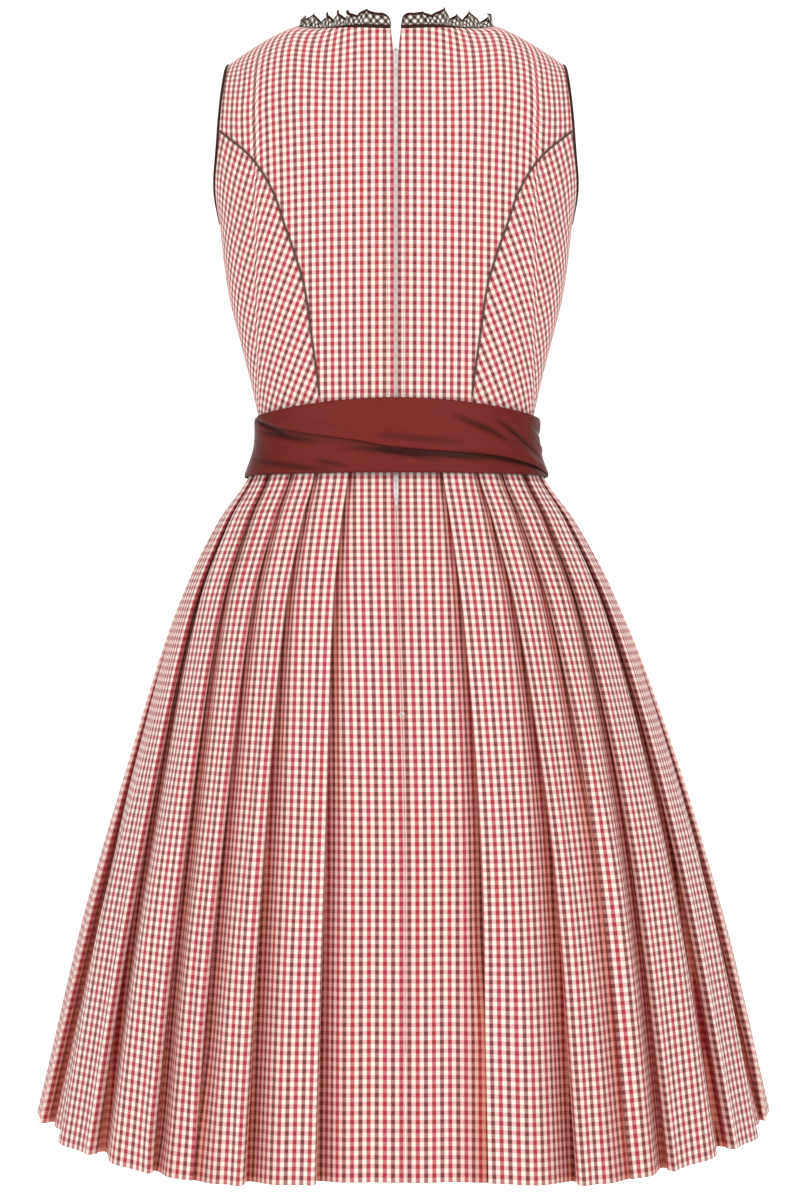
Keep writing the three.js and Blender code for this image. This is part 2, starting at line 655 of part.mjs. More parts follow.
function sashPoint(angle, z, out) {
  const ring = sashRing(z);
  const [x, y] = ringPlace(ring, Math.abs(angle));
  const [x1, y1] = ringPlace(ring, Math.abs(angle) + 0.01);
  const [x0, y0] = ringPlace(ring, Math.abs(angle) - 0.01);
  const run = Math.hypot(x1 - x0, y1 - y0);
  const side = angle < 0 ? -1 : 1;
  return new THREE.Vector3(side * (x - (y1 - y0) / run * out), y + (x1 - x0) / run * out, z);
}

function sashBand(angles, lowAt, inside, ring) {
  const shares = [0, 0.4, 0.75, 1];
  const net = (out) => shares.map((v) => angles.map((angle) => (
    sashPoint(angle, mix(lowAt(angle), sashTopZ(angle), v), out))));
  return wall(net(inside + SASH_CLOTH), net(inside), ring);
}
const sashUnder = () => sashBand(
  Array.from({ length: SASH_STEPS }, (_, i) => (1 - i / SASH_STEPS * 2) * Math.PI),
  () => SASH_LOW_Z, 0, true);
function sashOver() {
  const low = column(SASH_TURN, 'angle', 'low');
  const first = SASH_TURN[0].angle, last = SASH_TURN[SASH_TURN.length - 1].angle;
  const count = Math.round((first - last) / 360 * SASH_STEPS);
  const angles = Array.from({ length: count + 1 }, (_, i) => mix(first, last, i / count) * DEGREE);
  return sashBand(angles, (angle) => low(angle / DEGREE), SASH_CLOTH + SASH_LAYER_GAP, false);
}

// ---------------------------------------------------------------- the zip
// Two tapes behind the folded edges: they part above the slider. near is the inner edge of each.
const TAPE_ROWS = [
  ...[{ z: -5, near: 4.6 }, { z: -19.6, near: 2.8 }, { z: -22, near: 0.15 }],
  ...[-45, -80, -125, -170, -210, -250, -295, -340, WAIST_Z + 1, WAIST_Z - 1, -418, -460, -540, ZIP_END_Z]
    .map((z) => ({ z, near: SEAM_GAP / 2 })),
];
function tapeNet(side, depth) {
  return TAPE_ROWS.map(({ z, near }) => [0, 0.5, 1].map((t) => {
    const x = mix(near, TAPE.half, t);
    if (z > WAIST_Z) {
      const turn = turnAt(x, z);
      return turnPoint('back', side, turn, z)
        .addScaledVector(turnNormal('back', side, turn, z), -(CLOTH + TAPE.clear + depth));
    }
    const [px, py] = ringRuler(ringAt(z)).place(x, 0);
    return new THREE.Vector3(side * px + sway(z), py - (CLOTH / 2 + TAPE.clear + depth), z);
  }));
}
const zipTape = (side) => wall(tapeNet(side, 0), tapeNet(side, TAPE.thick));

const wasm = await Module();
wasm.setup();

function toManifold(geometry) {
  const bare = geometry.clone();
  bare.deleteAttribute('normal');
  bare.deleteAttribute('uv');
  const joined = mergeVertices(bare, 1e-4);
  return new wasm.Manifold(new wasm.Mesh({
    numProp: 3,
    vertProperties: new Float32Array(joined.attributes.position.array),
    triVerts: new Uint32Array(joined.index.array),
  }));
}
function fromManifold(shape) {
  const { vertProperties, triVerts } = shape.getMesh();
  const geometry = new THREE.BufferGeometry();
  geometry.setAttribute('position', new THREE.Float32BufferAttribute(vertProperties, 3));
  geometry.setIndex([...triVerts]);
  return geometry;
}

const box = (a0, a1, b0, b1) => [[a0, b0], [a1, b0], [a1, b1], [a0, b1]];
function outline(corners, holes = []) {
  const shape = new THREE.Shape(corners.map(([a, b]) => new THREE.Vector2(a, b)));
  holes.forEach((hole) => shape.holes.push(new THREE.Path(hole.map(([a, b]) => new THREE.Vector2(a, b)))));
  return shape;
}
const AXIS = { x: new THREE.Vector3(1, 0, 0), y: new THREE.Vector3(0, 1, 0), z: new THREE.Vector3(0, 0, 1) };

// A flat outline drawn in two axes and given a width along the third, half to each side.
function slab(shape, width, across, up) {
  const basis = new THREE.Matrix4().makeBasis(across, up, across.clone().cross(up));
  return new THREE.ExtrudeGeometry(shape, { depth: width, bevelEnabled: false })
    .translate(0, 0, -width / 2).applyMatrix4(basis);
}

// The slider: a plate inside the tapes, a bridge for the pull further in, and a crown that shows between
// the folded edges. In its own frame +Y points out of the cloth and z = 0 is where the tapes part.
function zipSlider() {
  const { wide, thick, high, bridge, bridgeWide, reach, drop, crown, crownOut } = SLIDER;
  const inner = -(thick + reach + bridge);
  const plate = outline(box(-thick, 0, -drop - high, -drop));
  const loop = outline(box(inner, -thick / 2, -drop - high, -drop),
    [box(inner + bridge, -thick, -drop - high + bridge, -drop - bridge)]);
  const stem = outline([[-thick, -drop - 1], [0, -drop - 1], [0, 0.4], [crownOut, 0.4], [crownOut, 2], [-thick, 2]]);
  const parts = [[plate, wide], [loop, bridgeWide], [stem, crown]]
    .map(([shape, width]) => toManifold(slab(shape, width, AXIS.y, AXIS.z)));
  return fromManifold(parts[0].add(parts[1]).add(parts[2]));
}

// The pull tab: its cross bar runs behind the bridge, and its window lets the bridge through.
function zipPull() {
  const { wide, thick, bar, window, slot, high } = PULL;
  const top = bar / 2;
  const foot = [[-wide / 2 + 1, top - high], [wide / 2 - 1, top - high]];
  const shape = outline(
    [[-wide / 2, top], [-wide / 2, top - high + 1.4], ...foot, [wide / 2, top - high + 1.4], [wide / 2, top]],
    [box(-slot / 2, slot / 2, -top - window, -top)]);
  return slab(shape, thick, AXIS.x, AXIS.z);
}

const MATERIALS = {
  check: new THREE.MeshStandardMaterial({ color: 0xd59d9b, roughness: 0.85 }),
  sash: new THREE.MeshStandardMaterial({ color: 0x7d302c, roughness: 0.5 }),
  binding: new THREE.MeshStandardMaterial({ color: 0x33201f, roughness: 0.7 }),
  piping: new THREE.MeshStandardMaterial({ color: 0x6e6055, roughness: 0.7 }),
  ruffle: new THREE.MeshStandardMaterial({ color: 0x9f928c, roughness: 0.85 }),
  tape: new THREE.MeshStandardMaterial({ color: 0xdcb8b7, roughness: 0.8 }),
  slider: new THREE.MeshStandardMaterial({ color: 0xf2efec, roughness: 0.35 }),
};

const dress = new THREE.Group();
function add(name, geometry, material, parent = dress) {
  const mesh = new THREE.Mesh(geometry, MATERIALS[material]);
  mesh.name = name;
  parent.add(mesh);
  return mesh;
}

// ---------------------------------------------------------------- the dress, piece by piece
[['left', 1], ['right', -1]].forEach(([hand, side]) => {
  add(`back_${hand}`, backPanel(side), 'check');
  add(`side_back_${hand}`, sidePanel('back', side), 'check');
  add(`side_front_${hand}`, sidePanel('front', side), 'check');
  add(`piping_back_${hand}`, piping('back', side), 'piping');
  add(`piping_front_${hand}`, piping('front', side), 'piping');
  add(`armhole_binding_${hand}`, strip(armholeLoop(side), rectangle(BINDING.wide, BINDING.thick), true), 'binding');
  add(`zip_tape_${hand}`, zipTape(side), 'tape');
  add(`skirt_back_${hand}`, skirtBack(hand), 'check');
});
add('front_centre', frontPanel(), 'check');
add('skirt_front', skirtFront(), 'check');
add('neck_binding', strip(neckRail(EDGE_GAP + BINDING.wide / 2), rectangle(BINDING.wide, BINDING.thick)), 'binding');
add('neck_ruffle', neckRuffle(), 'ruffle');
add('ruffle_binding', ruffleBinding(), 'binding');
add('sash_under', sashUnder(), 'sash');
add('sash_over', sashOver(), 'sash');

// The slider leans with the cloth at the nape, and the pull hangs plumb from it on the inside.
const SEAT_Z = ZIP_TOP_Z + 1;
const seatNormal = turnNormal('back', 1, 0.01, SEAT_Z).setX(0).normalize();
const zip = new THREE.Group();
zip.position.copy(turnPoint('back', 1, 0, SEAT_Z))
  .addScaledVector(seatNormal, -(CLOTH + TAPE.clear + TAPE.thick + SEAM_GAP));
zip.rotation.x = Math.atan2(seatNormal.z, seatNormal.y);
dress.add(zip);
add('zip_slider', zipSlider(), 'slider', zip);

const hinge = new THREE.Group();
hinge.position.set(0, -(SLIDER.thick + SLIDER.reach / 2), -(SLIDER.drop + SLIDER.bridge + 1.05));
hinge.rotation.x = -zip.rotation.x;
zip.add(hinge);
add('zip_pull', zipPull(), 'slider', hinge);

export default dress;
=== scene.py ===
import math
from functools import partial

import bmesh
import bpy
import numpy as np
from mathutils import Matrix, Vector


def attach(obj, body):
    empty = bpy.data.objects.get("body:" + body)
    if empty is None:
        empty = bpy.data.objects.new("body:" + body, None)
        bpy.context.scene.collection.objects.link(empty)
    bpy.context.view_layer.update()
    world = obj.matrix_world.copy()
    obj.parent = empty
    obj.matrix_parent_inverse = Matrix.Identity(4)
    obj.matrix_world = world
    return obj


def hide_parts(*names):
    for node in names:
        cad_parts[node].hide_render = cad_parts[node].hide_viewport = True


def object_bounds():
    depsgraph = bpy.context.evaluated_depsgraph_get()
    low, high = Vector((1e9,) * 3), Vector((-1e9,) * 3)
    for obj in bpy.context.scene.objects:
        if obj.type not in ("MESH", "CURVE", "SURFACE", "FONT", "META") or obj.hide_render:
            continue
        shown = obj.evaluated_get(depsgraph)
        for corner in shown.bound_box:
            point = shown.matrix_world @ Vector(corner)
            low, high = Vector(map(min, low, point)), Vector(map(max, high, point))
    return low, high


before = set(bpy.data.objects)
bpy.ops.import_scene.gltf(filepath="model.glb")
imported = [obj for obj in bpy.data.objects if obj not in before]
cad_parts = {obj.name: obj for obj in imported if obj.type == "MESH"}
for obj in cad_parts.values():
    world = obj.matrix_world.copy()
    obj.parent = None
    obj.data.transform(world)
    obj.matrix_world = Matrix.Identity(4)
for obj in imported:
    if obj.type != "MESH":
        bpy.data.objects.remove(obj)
cad_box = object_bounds()
scene = bpy.context.scene
MM = 0.001
HANDS = (("left", 1), ("right", -1))
AWAY = {"back": 1.0, "front": -1.0}     # which way each face of the body looks along y


def table(columns, *rows):
    """Rows of values under named columns."""
    return [dict(zip(columns.split(), row)) for row in rows]


def add_object(name, data):
    thing = bpy.data.objects.new(name, data)
    scene.collection.objects.link(thing)
    return thing


def new_mesh(name, points, faces):
    """A mesh from points in millimetres."""
    mesh = bpy.data.meshes.new(name)
    mesh.from_pydata((np.asarray(points).reshape(-1, 3) * MM).tolist(), [], faces)
    return mesh


def net_faces(rows, cols, rows_ring=False, cols_ring=False, base=0):
    """Four-sided faces between the points of a net, closed to a ring either way."""
    down = [(base + r * cols, base + (r + 1) % rows * cols) for r in range(rows if rows_ring else rows - 1)]
    along = [(c, (c + 1) % cols) for c in range(cols if cols_ring else cols - 1)]
    return [(r + c, r + d, s + d, s + c) for r, s in down for c, d in along]


def new_material(name, looks):
    """A material with its shader set from a table of looks, and the tree and shader to build on."""
    material = bpy.data.materials.new(name)
    material.use_nodes = True
    shader = material.node_tree.nodes["Principled BSDF"]
    for label, value in looks.items():
        shader.inputs[label].default_value = value
    return material, material.node_tree, shader


# ---- Camera and room -------------------------------------------------------------------------
# The dress is seen square from behind, from the height of its own middle, in a plain pale room
# whose floor runs up into the back wall in one sweep.
CAMERA_DISTANCE = 2.4
CAMERA_HEIGHT = -0.535
CAMERA_SIDE = -0.0039
camera_data = bpy.data.cameras.new("camera")
camera_data.sensor_fit = "VERTICAL"
camera_data.sensor_height = 36.0
camera_data.lens = 74.6
camera = add_object("camera", camera_data)
camera.location = (CAMERA_SIDE, CAMERA_DISTANCE, CAMERA_HEIGHT)
camera.rotation_euler = (math.pi / 2, 0.0, math.pi)
scene.camera = camera

FLOOR_Z = -1.48
SWEEP_RADIUS = 1.2
SWEEP_STEPS = 16
WALL_BEHIND = 7.0
ROOM_HALF = 9.0
WALL_HIGH = 5.0
room_profile = [(ROOM_HALF, 0.0), (-WALL_BEHIND + SWEEP_RADIUS, 0.0)]
for step in range(1, SWEEP_STEPS + 1):
    turn = step / SWEEP_STEPS * math.pi / 2
    room_profile.append((-WALL_BEHIND + SWEEP_RADIUS * (1 - math.sin(turn)),
                         SWEEP_RADIUS * (1 - math.cos(turn))))
room_profile.append((-WALL_BEHIND, WALL_HIGH))
room_mesh = bpy.data.meshes.new("room")
room_mesh.from_pydata(
    [(x, y, FLOOR_Z + z) for y, z in room_profile for x in (-ROOM_HALF, ROOM_HALF)], [],
    [(2 * i, 2 * i + 1, 2 * i + 3, 2 * i + 2) for i in range(len(room_profile) - 1)])
for face in room_mesh.polygons:
    face.use_smooth = True
room = add_object("room", room_mesh)
room_mesh.materials.append(new_material("room_paint", {
    "Base Color": (0.95, 0.95, 0.95, 1), "Roughness": 0.95,
    "Emission Color": (1, 1, 1, 1), "Emission Strength": 0.45})[0])

LIT_POINT = (0, 0, -0.5)
LIGHTS = table(
    "name at size power",
    ("key",        (-1.5, 2.6, 0.9), 1.8, 36),
    ("fill",       (1.9, 2.3, 0.3),  2.0, 27),
    ("top",        (0.0, 0.4, 2.0),  1.8, 20),
    ("front_side", (0.0, -2.4, 0.8), 2.2, 30),
)
for lamp in LIGHTS:
    light = bpy.data.lights.new(lamp["name"], "AREA")
    light.shape = "SQUARE"
    light.size = lamp["size"]
    light.energy = lamp["power"]
    light_object = add_object(lamp["name"], light)
    light_object.location = lamp["at"]
    aim = Vector(LIT_POINT) - Vector(lamp["at"])
    light_object.rotation_euler = aim.to_track_quat("-Z", "Y").to_euler()
world = bpy.data.worlds.new("studio")
world.use_nodes = True
world.node_tree.nodes["Background"].inputs["Color"].default_value = (1, 1, 1, 1)
world.node_tree.nodes["Background"].inputs["Strength"].default_value = 0.45
scene.world = world
scene.view_settings.view_transform = "Standard"

# ---- Bodice ----------------------------------------------------------------------------------
# Seven panels of yarn-dyed red and cream cotton check. The centre panels are cut on the straight
# grain, the side panels on a slant, and they meet in curved princess seams.
NECK_HALF = 95.0
SHOULDER_HALF = 161.0
NECK_BACK_Z = 1.0
NECK_SIDE_Z = 14.0
SHOULDER_DROP = 34.0
NAPE_DEPTH = 72.0
FRONT_NECK_DROP = 112.0
UNDERARM_Z = -172.0
WAIST_Z = -390.0
HEM_Z = cad_box[0][2] / MM
PRINCESS_TOP_Z = -92.0
ZIP_END_Z = -628.0
SEAM_GAP = 0.3
BODY_ROUND = 0.85
NAPE_SPREAD = 72.0
SHOULDER_CURVE = 1.35
NECK_CURVE = 0.9
ROLL_BY_ARM = 80.0              # how far below its edge the cloth turns over the shoulder
ROLL_AT_NAPE = 150.0

FORM = table(
    "z half back front",
    (20,   180,    100,  84),
    (-20,  183,    108,  92),
    (-53,  183.5,  114,  100),
    (-91,  183.5,  118,  108),
    (-130, 179.2,  118,  119),
    (-168, 170.81, 115,  129),
    (-207, 166.5,  110,  135),
    (-246, 160.5,  104,  134),
    (-284, 151,    97,   121),
    (-323, 141,    91,   106),
    (-346, 135.8,  88.8, 99.5),
    (-361, 132.6,  87.4, 96.4),
    (-390, 131.6,  88,   95),
)
ARM_EDGE = table(
    "z back front",
    (-20,  161,   161),
    (-53,  164.2, 155),
    (-91,  167.3, 152),
    (-130, 169.8, 158.5),
    (-158, 170.3, 169),
    (-172, 170.2, 170.2),
)
PRINCESS = table(
    "z back front",
    (-390, 68,    64),
    (-346, 71,    68),
    (-285, 79,    80),
    (-244, 85,    88),
    (-216, 93,    95),
    (-185, 104,   104),
    (-154, 115,   115),
    (-122, 135.5, 131),
    (-92,  167.4, 152),
)
ZIP_GAP = table(
    "z half",
    (1,    4.8),
    (-21,  2.6),
    (-60,  1.9),
    (-346, 1.4),
    (-390, 1.4),
    (-418, 2.4),
    (-440, 2.2),
    (-455, 0.15),
)


def column(rows, key, name):
    """A smooth curve through one column of a table."""
    rows = sorted(rows, key=lambda row: row[key])
    x = np.array([row[key] for row in rows], float)
    y = np.array([row[name] for row in rows], float)
    slope = np.empty_like(y)
    slope[1:-1] = (y[2:] - y[:-2]) / (x[2:] - x[:-2])
    slope[0] = (y[1] - y[0]) / (x[1] - x[0])
    slope[-1] = (y[-1] - y[-2]) / (x[-1] - x[-2])

    def read(at):
        at = np.clip(np.asarray(at, float), x[0], x[-1])
        i = np.clip(np.searchsorted(x, at, side="right") - 1, 0, len(x) - 2)
        run = x[i + 1] - x[i]
        t = (at - x[i]) / run
        ends = y[i] * (1 + 2 * t) * (1 - t) ** 2 + y[i + 1] * (3 - 2 * t) * t * t
        return ends + run * (slope[i] * t * (1 - t) ** 2 - slope[i + 1] * t * t * (1 - t))

    return read


def mix(a, b, t):
    return a + (b - a) * t


def unit(vectors):
    return vectors / np.linalg.norm(vectors, axis=-1, keepdims=True)


def columns(rows, key, *names):
    return {name: column(rows, key, name) for name in names}


form_half = column(FORM, "z", "half")
form_depth = columns(FORM, "z", "back", "front")
princess_half = columns(PRINCESS, "z", "back", "front")
arm_half = columns(ARM_EDGE, "z", "back", "front")
zip_half = column(ZIP_GAP, "z", "half")


def top_z(x):
    out = np.abs(x)
    neck = mix(NECK_BACK_Z, NECK_SIDE_Z, (out / NECK_HALF) ** 2)
    run = np.clip((out - NECK_HALF) / (SHOULDER_HALF - NECK_HALF), 0, None)
    return np.where(out < NECK_HALF, neck, NECK_SIDE_Z - SHOULDER_DROP * run ** SHOULDER_CURVE)


def front_neck_z(x):
    scoop = np.sqrt(1 - np.clip(np.abs(x) / NECK_HALF, 0, 1) ** 2)
    return NECK_SIDE_Z - FRONT_NECK_DROP * scoop ** NECK_CURVE


# Soft creases of the worn bodice. Each is a ridge or trough from one point to another, by the
# distance across from the centre line and the height, in millimetres.
CREASE_REACH = 0.25             # how far past its ends a crease fades, as a share of its length
BODICE_CREASES = table(
    "x0 z0 x1 z1 wide deep",
    (-128, -243, -168, -222, 5, -1.6),
    (-120, -232, -160, -212, 7, 1.2),
    (132,  -254, 164,  -250, 6, -1.3),
    (128,  -240, 166,  -240, 7, 1.1),
    (100,  -330, 134,  -344, 5, -1.4),
    (-96,  -338, -132, -322, 5, -1.3),
    (20,   -335, 60,   -340, 6, -0.9),
    (-14,  -322, -56,  -334, 7, -0.9),
    (140,  -60,  158,  -24,  6, -1.2),
    (-142, -58,  -160, -26,  6, -1.2),
    (130,  -200, 160,  -176, 8, -1.0),
    (-126, -196, -158, -170, 8, -1.0),
)


def crease_height(x, z, creases, reach, scale=1.0):
    """The height of all creases at places whose x is in the table's own unit times the scale."""
    total = np.zeros(np.broadcast(x, z).shape)
    for fold in creases:
        ax, az = fold["x0"] * scale, fold["z0"]
        dx, dz = (fold["x1"] - fold["x0"]) * scale, fold["z1"] - fold["z0"]
        t = np.clip(((x - ax) * dx + (z - az) * dz) / (dx * dx + dz * dz), -reach, 1 + reach)
        gap = np.hypot(x - ax - t * dx, z - az - t * dz)
        ends = np.clip(1 - (np.abs(t - 0.5) / (0.5 + reach)) ** 3, 0, 1)
        total += fold["deep"] * ends * np.exp(-(gap / fold["wide"]) ** 2)
    return total


def body_point(face, x, z):
    half = form_half(z)
    across = np.clip(np.abs(x) / half, 0, 1)
    depth = form_depth[face](z) + crease_height(x, z, BODICE_CREASES, CREASE_REACH)
    flat = AWAY[face] * depth * np.sqrt(1 - across ** 2) ** BODY_ROUND
    nape = 1 / (1 + (np.abs(x) / NAPE_SPREAD) ** 4)
    fall = np.clip((top_z(x) - z) / mix(ROLL_BY_ARM, ROLL_AT_NAPE, nape), 0, 1)
    roll = mix(np.sqrt(1 - (1 - fall) ** 2), np.sin(fall * math.pi / 2), nape)
    return np.stack([x, mix(NAPE_DEPTH * nape, flat, roll) + AWAY[face] * SEAM_GAP / 2, z], axis=-1)


def turn_point(face, side, turn, z):
    return body_point(face, side * form_half(z) * np.sin(turn), z)


def turn_at(x, z):
    return np.arcsin(np.clip(x / form_half(z), 0, 1))


TURN_STEP = 0.004               # how far apart the places are that a normal is found from
RISE_STEP = 0.6


def turn_normal(face, side, turn, z):
    low, high = np.clip(turn - TURN_STEP, 0, None), np.clip(turn + TURN_STEP, None, math.pi / 2)
    across = turn_point(face, side, high, z) - turn_point(face, side, low, z)
    up = turn_point(face, side, turn, z) - turn_point(face, side, turn, z - RISE_STEP)
    normal = unit(np.cross(across, up))
    sign = np.sign(normal[..., 1] * AWAY[face] * 10 + normal[..., 0] * side + normal[..., 2])
    return normal * sign[..., None]


def dress_piece(piece, node, material):
    """Lays a piece on the dress in the place of its solid."""
    piece.data.materials.append(material)
    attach(piece, "dress")
    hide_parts(node)


def shell(name, net, cloth, painted_shade_weight, thick=0.6, ring=False, offset=-1.0):
    """A sheet of cloth from a net of points in millimetres, given its thickness by Solidify.

    Each point carries its place on the flat cloth and how deep in a fold or shadow it lies, as a weight for
    painted shade."""
    rows, cols = net.shape[:2]
    lean = np.cross(net[:-1, 1:] - net[:-1, :-1], net[1:, :-1] - net[:-1, :-1])
    flip = float(np.sum(lean[..., :2] * net[:-1, :-1, :2])) < 0
    faces = net_faces(rows, cols, cols_ring=ring)
    mesh = new_mesh(name, net, [face[::-1] for face in faces] if flip else faces)
    mesh.polygons.foreach_set("use_smooth", [True] * len(faces))
    full = np.concatenate([cloth * MM, np.zeros(cloth.shape[:2] + (1,))], axis=-1)
    layer = mesh.attributes.new("cloth", "FLOAT_VECTOR", "POINT")
    layer.data.foreach_set("vector", full.reshape(-1).astype(np.float32))
    # The weight of painted shade that the material lays on each point.
    layer = mesh.attributes.new("painted_shade_weight", "FLOAT", "POINT")
    layer.data.foreach_set("value", painted_shade_weight.reshape(-1).astype(np.float32))
    piece = add_object(name, mesh)
    solid = piece.modifiers.new("thickness", "SOLIDIFY")
    solid.thickness = thick * MM
    solid.offset = offset
    return piece


def new_group(name, inputs, outputs):
    group = bpy.data.node_groups.new(name, "ShaderNodeTree")
    for label, kind, value in inputs:
        socket = group.interface.new_socket(name=label, in_out="INPUT", socket_type=kind)
        if value is not None:
            socket.default_value = value
    for label, kind in outputs:
        group.interface.new_socket(name=label, in_out="OUTPUT", socket_type=kind)
    return group, group.nodes.new("NodeGroupInput"), group.nodes.new("NodeGroupOutput")


def maths(tree, operation, *values, clamp=False):
    node = tree.nodes.new("ShaderNodeMath")
    node.operation = operation
    node.use_clamp = clamp
    for i, value in enumerate(values):
        if isinstance(value, (int, float)):
            node.inputs[i].default_value = value
        else:
            tree.links.new(value, node.inputs[i])
    return node.outputs[0]


def blend_colour(tree, share, first, second, kind="MIX"):
    node = tree.nodes.new("ShaderNodeMix")
    node.data_type = "RGBA"
    node.blend_type = kind
    for label, value in (("Factor", share), (6, first), (7, second)):
        if isinstance(value, (int, float, tuple)):
            node.inputs[label].default_value = value
        else:
            tree.links.new(value, node.inputs[label])
    return node.outputs[2]


def attribute(tree, name, output):
    node = tree.nodes.new("ShaderNodeAttribute")
    node.attribute_name = name
    return node.outputs[output]


def split_xyz(tree, vector):
    node = tree.nodes.new("ShaderNodeSeparateXYZ")
    tree.links.new(vector, node.inputs[0])
    return node.outputs


def noise(tree, vector=None, scale=1.0, detail=2.0, stretch=None):
    """A noise mask, drawn out along the axes of its place if a stretch is given."""
    if stretch:
        longer = tree.nodes.new("ShaderNodeVectorMath")
        longer.operation = "MULTIPLY"
        longer.inputs[1].default_value = stretch
        tree.links.new(vector, longer.inputs[0])
        vector = longer.outputs[0]
    node = tree.nodes.new("ShaderNodeTexNoise")
    node.inputs["Scale"].default_value = scale
    node.inputs["Detail"].default_value = detail
    if vector is not None:
        tree.links.new(vector, node.inputs["Vector"])
    return node.outputs["Fac"]


def add_bump(tree, shader, height, strength, distance):
    node = tree.nodes.new("ShaderNodeBump")
    node.inputs["Strength"].default_value = strength
    node.inputs["Distance"].default_value = distance
    tree.links.new(height, node.inputs["Height"])
    tree.links.new(node.outputs["Normal"], shader.inputs["Normal"])


def tinted(colour, factor):
    return tuple(min(1.0, c * factor) for c in colour) + (1,)


# Yarn-dyed check: coloured bands of warp and weft on an undyed ground, with the threads' own
# small unevenness. Every other warp band has a colour of its own.
check_group, gin, gout = new_group(
    "yarn_dyed_check",
    [("Cloth", "NodeSocketVector", None), ("Repeat Across", "NodeSocketFloat", 0.007),
     ("Repeat Along", "NodeSocketFloat", 0.0074)]
    + [(label, "NodeSocketColor", (1, 1, 1, 1)) for label in (
        "Ground", "Warp Band", "Other Warp Band", "Weft Band", "Crossing", "Other Crossing")],
    [("Color", "NodeSocketColor"), ("Height", "NodeSocketFloat")])
cloth_across, cloth_along, _ = split_xyz(check_group, gin.outputs["Cloth"])
weave_maths = partial(maths, check_group)
BAND_SHARPNESS = 12.0
THREAD = 0.00036
SLUB_STRETCH = (900, 160, 1)


def band_mask(coordinate, repeat):
    place = weave_maths("DIVIDE", coordinate, repeat)
    share = weave_maths("FRACT", place)
    ridge = weave_maths("ABSOLUTE", weave_maths("SUBTRACT", share, 0.5))
    inside = weave_maths("SUBTRACT", 0.25, ridge)
    return place, weave_maths("MULTIPLY_ADD", inside, BAND_SHARPNESS, 0.5, clamp=True)


warp_place, warp_mask = band_mask(cloth_across, gin.outputs["Repeat Across"])
_, weft_mask = band_mask(cloth_along, gin.outputs["Repeat Along"])
warp_number = weave_maths("FLOOR", weave_maths("ADD", warp_place, 400.0))
odd = weave_maths("MODULO", warp_number, 2.0)
crossing = blend_colour(check_group, odd, gin.outputs["Crossing"], gin.outputs["Other Crossing"])
warp_band = blend_colour(check_group, odd, gin.outputs["Warp Band"], gin.outputs["Other Warp Band"])
plain_row = blend_colour(check_group, warp_mask, gin.outputs["Ground"], warp_band)
band_row = blend_colour(check_group, warp_mask, gin.outputs["Weft Band"], crossing)
woven = blend_colour(check_group, weft_mask, plain_row, band_row)
thread_across, thread_along = (
    weave_maths("SINE", weave_maths("MULTIPLY", coordinate, 2 * math.pi / THREAD))
    for coordinate in (cloth_across, cloth_along))
threads = weave_maths("MULTIPLY", thread_across, thread_along)
slub = noise(check_group, gin.outputs["Cloth"], stretch=SLUB_STRETCH)
uneven = weave_maths("MULTIPLY_ADD", slub, 0.30, 0.85)
check_group.links.new(blend_colour(check_group, 1.0, woven, uneven, "MULTIPLY"), gout.inputs["Color"])
check_group.links.new(weave_maths("MULTIPLY_ADD", threads, 0.5, slub), gout.inputs["Height"])


def check_cloth(name, colours, repeat, painted_shade_colour):
    """A cotton check with painted shade in its deep folds, darker and tinted red like the colour thrown
    between their walls.
    """
    material, tree, shader = new_material(
        name, {"Roughness": 0.88, "Sheen Weight": 0.15, "Specular IOR Level": 0.25})
    weave = tree.nodes.new("ShaderNodeGroup")
    weave.node_tree = check_group
    tree.links.new(attribute(tree, "cloth", "Vector"), weave.inputs["Cloth"])
    weave.inputs["Repeat Across"].default_value = repeat[0]
    weave.inputs["Repeat Along"].default_value = repeat[1]
    for label, colour in colours.items():
        weave.inputs[label].default_value = colour + (1,)
    # Painted shade: the fold weight darkens the check and tints it red, standing in for shade and the light
    # thrown between the fold walls.
    painted_shade_share = maths(tree, "MULTIPLY", attribute(tree, "painted_shade_weight", "Fac"), 0.85)
    painted_fold_shade = blend_colour(tree, 1.0, weave.outputs["Color"], painted_shade_colour + (1,), "MULTIPLY")
    tree.links.new(blend_colour(tree, painted_shade_share, weave.outputs["Color"], painted_fold_shade), shader.inputs["Base Color"])
    add_bump(tree, shader, weave.outputs["Height"], 0.25, 0.0002)
    return material


RED_CHECK = {
    "Ground": (0.93, 0.80, 0.72),
    "Warp Band": (0.56, 0.165, 0.18),
    "Other Warp Band": (0.43, 0.18, 0.175),
    "Weft Band": (0.77, 0.42, 0.39),
    "Crossing": (0.36, 0.028, 0.048),
    "Other Crossing": (0.175, 0.036, 0.040),
}
dress_check = check_cloth("red_check_cotton", RED_CHECK, (0.0070, 0.0074), (0.62, 0.16, 0.10))

# The flat cut of each panel is followed with two rulers: round the body and up it.
RULER_STEP = 1.5
RULER_JUMP = 3.5                # the most that one step up may measure, where the edge turns in
ruler_x = np.arange(0, 190 + RULER_STEP, RULER_STEP)
ruler_z = np.arange(-396, 26, RULER_STEP)
rulers = {}
for face in ("back", "front"):
    grid_x, grid_z = np.meshgrid(ruler_x, ruler_z)
    inside = np.minimum(grid_x, form_half(grid_z) * 0.9995)
    grid = body_point(face, inside, grid_z)
    depth = grid[..., 1]
    round_run = np.hypot(np.diff(inside, axis=1), np.diff(depth, axis=1))
    up_run = np.clip(np.hypot(np.diff(grid_z, axis=0), np.diff(depth, axis=0)), 0, RULER_JUMP)
    rulers[face] = (np.pad(np.cumsum(round_run, 1), ((0, 0), (1, 0))),
                    np.pad(np.cumsum(up_run, 0), ((1, 0), (0, 0))))


